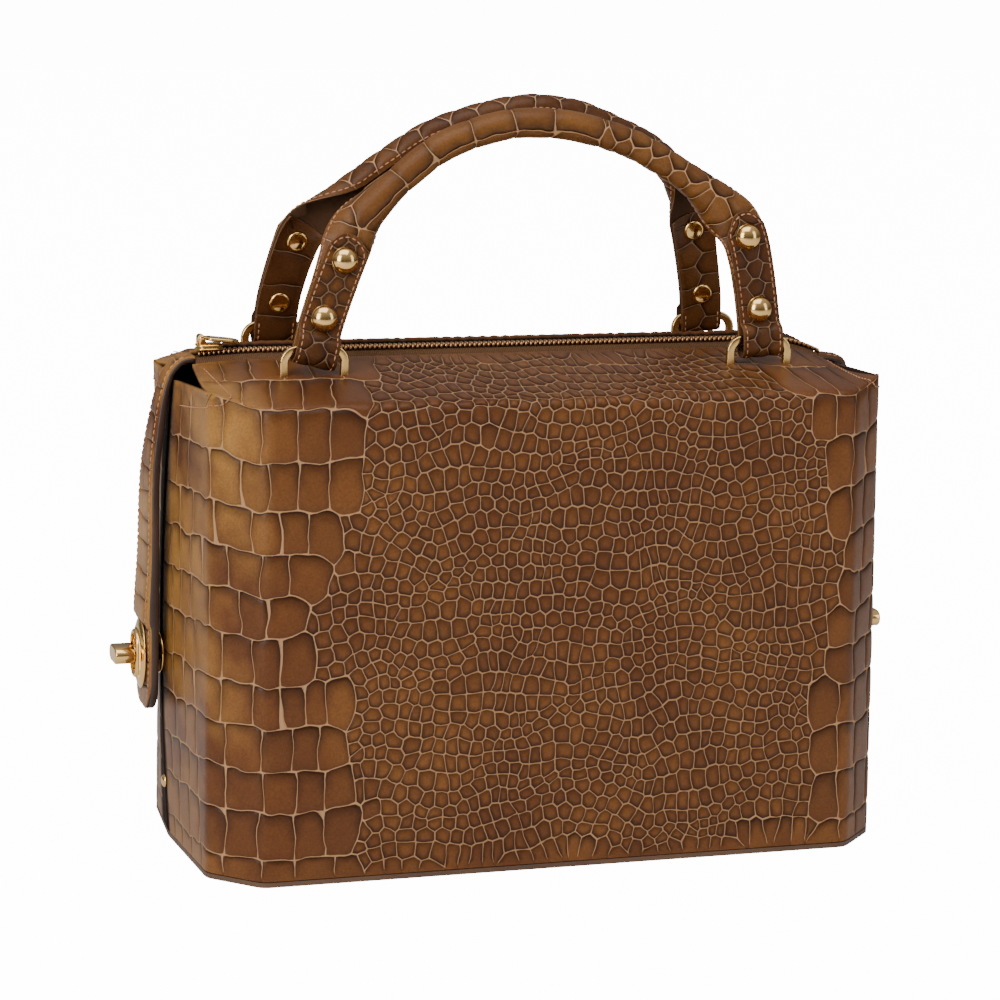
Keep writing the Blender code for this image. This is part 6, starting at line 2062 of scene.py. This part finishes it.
def build_end_strap(side):
    """End strap: a dark core with rounded edges, embossed leather over it, and stitching along both edges."""
    ribbon = end_strap_ribbon(side)
    total, half = ribbon.s[-1], ribbon.half
    lock_s = float(np.interp(-LOCK_HEIGHT, -ribbon.middle[:, 2], ribbon.s))

    def bulge(s, v):
        """Padding that lifts the leather above the lock, fading upwards and towards the edges."""
        d = lock_s - PAD_FOOT - s
        along = np.where(d > 0, np.exp(-((d / PAD_UP) ** 2)), np.exp(-((d / PAD_DOWN) ** 2)))
        return PAD_HEIGHT * along * (1 - 0.55 * np.abs(v / half) ** 3) * (s > 0.03)

    def thin(s):
        """Share of the extra thickness, none where the strap starts at the zip."""
        return smoothstep(s, 0.012, 0.040)

    rings = []
    stations = [(s, 1.0) for s in np.linspace(0.0, total - half, 70)]
    for a in np.radians((12, 24, 36, 48, 60, 72, 82, 87)):
        stations.append((total - half + half * math.sin(a), math.cos(a)))
    for s, share in stations:
        low_n = CORE_LOW + CORE_DEEPER * float(thin(s))
        w = float(np.interp(s, ribbon.s, ribbon.width)) / 2 * share
        c = min(CORE_CORNER, 0.3 * w)
        right = [(w - c, low_n), (w - 0.3 * c, low_n + 0.3 * c), (w, low_n + c)]
        right += [(w, CORE_TOP - c), (w - 0.3 * c, CORE_TOP - 0.3 * c), (w - c, CORE_TOP)]
        left = [(-x, y) for x, y in reversed(right)]
        line = np.array([left[-1], *right, *left[:-1]])
        at = np.full(len(line), s)
        middle = ribbon.at(ribbon.middle, at)
        normal = unit_rows(ribbon.at(ribbon.normal, at))
        lift = bulge(at, line[:, 0]) * (line[:, 1] > 0)
        sideways = ribbon.at(ribbon.across, at) * line[:, :1]
        rings.append(middle + sideways + normal * (line[:, 1:] + lift[:, None]))
    core = solid(f"strap_core_{side}", [loft(rings)], "edge", "bag", [f"strap_{side}"])
    lines = total - np.array(STRAP_CROSS_LINES[::-1]) / 1000
    lines = np.concatenate([[0.0], lines[lines > 0.006], [total]])
    seeds = []
    for i, (a, b) in enumerate(zip(lines[:-1], lines[1:])):
        seeds += box_seeds(a, b, -half, half, i)
    limits = round_end_limits(total, half)

    def foot_limits(s, v):
        return limits(s, v) if s > total - 1.6 * half else []

    seeds = np.array(seeds)
    labels = seeds[:, 2].astype(int)
    cells = cells_of([tuple(p[:2]) for p in seeds], (0.0, -half), (total, half), foot_limits)
    points, outlines = outlines_of(cells, labels)
    field = raise_scales(points, outlines, 0.0014, large_area=5e-5, seed=31, depth=0.8)
    field = close_underside(field, STRAP_COVER)

    def lay(s, v, height):
        edge = 0.9 * smoothstep(np.abs(v) / half, 0.80, 1.0) + 0.9 * smoothstep(s, total - 0.002, total)
        middle_dent = -0.10 * np.exp(-((v / 0.0012) ** 2))
        padded = 0.0011 + (0.55 - edge * 0.9 + middle_dent) / 1000
        raised = height / 1000 + np.where(height > -0.5, padded, 0.0012)
        width = np.interp(s, ribbon.s, ribbon.width) / 2 - 0.0004
        normal = unit_rows(ribbon.at(ribbon.normal, s))
        wave = wave_noise(s, v, 0.02, 4, 2) * 0.0008 * smoothstep(half - np.abs(v), 0.0, 0.004)
        s_moved = np.clip(s + wave * smoothstep(s, 0.0, 0.01) * smoothstep(total - s, 0.0, 0.012), 0, total)
        sideways = ribbon.at(ribbon.across, s_moved) * (v / half * width)[:, None]
        return ribbon.at(ribbon.middle, s_moved) + sideways + normal * (raised + bulge(s_moved, v))[:, None]

    cover = leather_object(f"strap_cover_{side}", field, lay, material("croc"), flip=True)
    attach(cover, "bag")
    for obj in (core, cover):
        cut_slot(obj, side)
    rows = []
    for sign in (-1, 1):
        s_line = np.linspace(0.004, total - half, 150)
        v_line = np.full(150, sign * (half - STRAP_SEAM))
        angle = np.linspace(0, math.pi / 2 - 0.02, 16)[1:]
        s_line = np.concatenate([s_line, total - half + (half - STRAP_SEAM) * np.sin(angle)])
        v_line = np.concatenate([v_line, sign * (half - STRAP_SEAM) * np.cos(angle)])
        low = lay(s_line, v_line, np.full(len(s_line), 0.1))
        high = lay(s_line, v_line, np.full(len(s_line), 1.1))
        rows.append((low, (high - low) * 1000))
    thread = stitches(f"strap_stitching_{side}", rows, sink=0.00036)
    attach(thread, "bag")


def cut_slot(obj, side):
    """Cuts the lock's upright slot through a piece of the end strap."""
    x = hanging_line_x()
    outline = slot_outline(LOCK_SLOT[0] + 0.0002, LOCK_SLOT[1] + 0.0002, 40)
    centre, axes = end_axes(side, LOCK_HEIGHT)
    rings = [centre + outline @ axes[:2] + axes[2] * d for d in (x - 0.006, x + 0.009)]
    points, faces = loft(rings)
    cutter = make_mesh("slot_cutter", points, faces, material("edge"), smooth=False)
    modifier = obj.modifiers.new("Slot", "BOOLEAN")
    modifier.operation, modifier.object, modifier.solver = "DIFFERENCE", cutter, "EXACT"
    mesh = bpy.data.meshes.new_from_object(obj.evaluated_get(bpy.context.evaluated_depsgraph_get()))
    obj.modifiers.clear()
    old = obj.data
    obj.data = mesh
    bpy.data.meshes.remove(old)
    bpy.data.objects.remove(cutter)


class HANDBAG_OT_end_straps(bpy.types.Operator):
    """Straps from the ends of the zip over the grooves"""

    bl_idname = "handbag.end_straps"
    bl_label = "End straps"

    def execute(self, context):
        build_end_strap("left")
        build_end_strap("right")
        return {"FINISHED"}


# Ear stitching from the groove round the corner to the zip: distance from the middle and height over the
# bend, in millimetres of laid-out leather
EAR_STITCHES = (
    (205, -9.5), (190, -8.6), (175, -7.4), (165, -6.4), (157, -4.8), (151.5, -2.4), (148.5, 0.8), (147.2, 5),
    (147.6, 12), (149, 22), (151.5, 33), (153.0, 38),
)


# Height of the ears' thread over the leather, and how much more it stands where it crosses the fold
EAR_THREAD_RISE, FOLD_THREAD_RISE = 0.00016, 0.00045


def build_ear_stitching(half):
    """Copper stitching below the open upper edges of the end panels and along the ends of the top piece."""
    surface = ShellSurface(half)
    rows = []
    for sign in (-1, 1):
        path = smooth_line(np.array(EAR_STITCHES) / 1000 * (sign, 1) + (0, BEND_LINE), 12)
        over_fold = 1 - smoothstep(np.abs(path[:, 1] - BEND_LINE - 0.001), 0.002, 0.008)
        height = EAR_THREAD_RISE + FOLD_THREAD_RISE * over_fold
        low = surface.place(path[:, 0], path[:, 1], height)
        high = surface.place(path[:, 0], path[:, 1], height + 0.001)
        rows.append((low, (high - low) / 0.001))
    thread = stitches(f"{half}_ear_stitching", rows)
    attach(thread, "bag")


class HANDBAG_OT_carried(bpy.types.Operator):
    """Finishes of the solids that keep their shape"""

    bl_idname = "handbag.carried"
    bl_label = "Finishes of the plain pieces"

    def execute(self, context):
        for name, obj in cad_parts.items():
            if obj.hide_render:
                continue
            key = "gold"
            if name.startswith("gusset"):
                key = "dark_leather"
            elif name.startswith(("handle", "strap", "base")):
                key = "base_leather"
            elif name == "zip_tape":
                key = "tape"
            elif name == "zip_teeth":
                key = "teeth"
            obj.data.materials.clear()
            obj.data.materials.append(material(key))
        return {"FINISHED"}


class HANDBAG_PT_panel(bpy.types.Panel):
    """The handbag's settings and the steps that make it"""

    bl_idname = "HANDBAG_PT_panel"
    bl_label = "Handbag"
    bl_space_type = "VIEW_3D"
    bl_region_type = "UI"
    bl_category = "Handbag"

    def draw(self, context):
        for group, kind in GROUPS:
            box = self.layout.box()
            box.label(text=group.capitalize())
            for key in kind.__annotations__:
                box.prop(chosen(group), key)
        for step in STEPS:
            self.layout.operator(step.bl_idname)


STEPS = (
    HANDBAG_OT_stage, HANDBAG_OT_shells, HANDBAG_OT_handles, HANDBAG_OT_fittings, HANDBAG_OT_end_straps,
    HANDBAG_OT_carried,
)
CLASSES = (*(kind for _, kind in GROUPS), *STEPS, HANDBAG_PT_panel)


def register():
    for each in CLASSES:
        bpy.utils.register_class(each)
    for group, kind in GROUPS:
        setattr(bpy.types.Scene, f"handbag_{group}", bpy.props.PointerProperty(type=kind))


def unregister():
    for group, _ in GROUPS:
        delattr(bpy.types.Scene, f"handbag_{group}")
    for each in reversed(CLASSES):
        bpy.utils.unregister_class(each)


def main():
    register()
    bpy.ops.handbag.stage()
    bpy.ops.handbag.shells()
    bpy.ops.handbag.handles()
    bpy.ops.handbag.fittings()
    bpy.ops.handbag.end_straps()
    bpy.ops.handbag.carried()


if __name__ == "__main__":
    main()
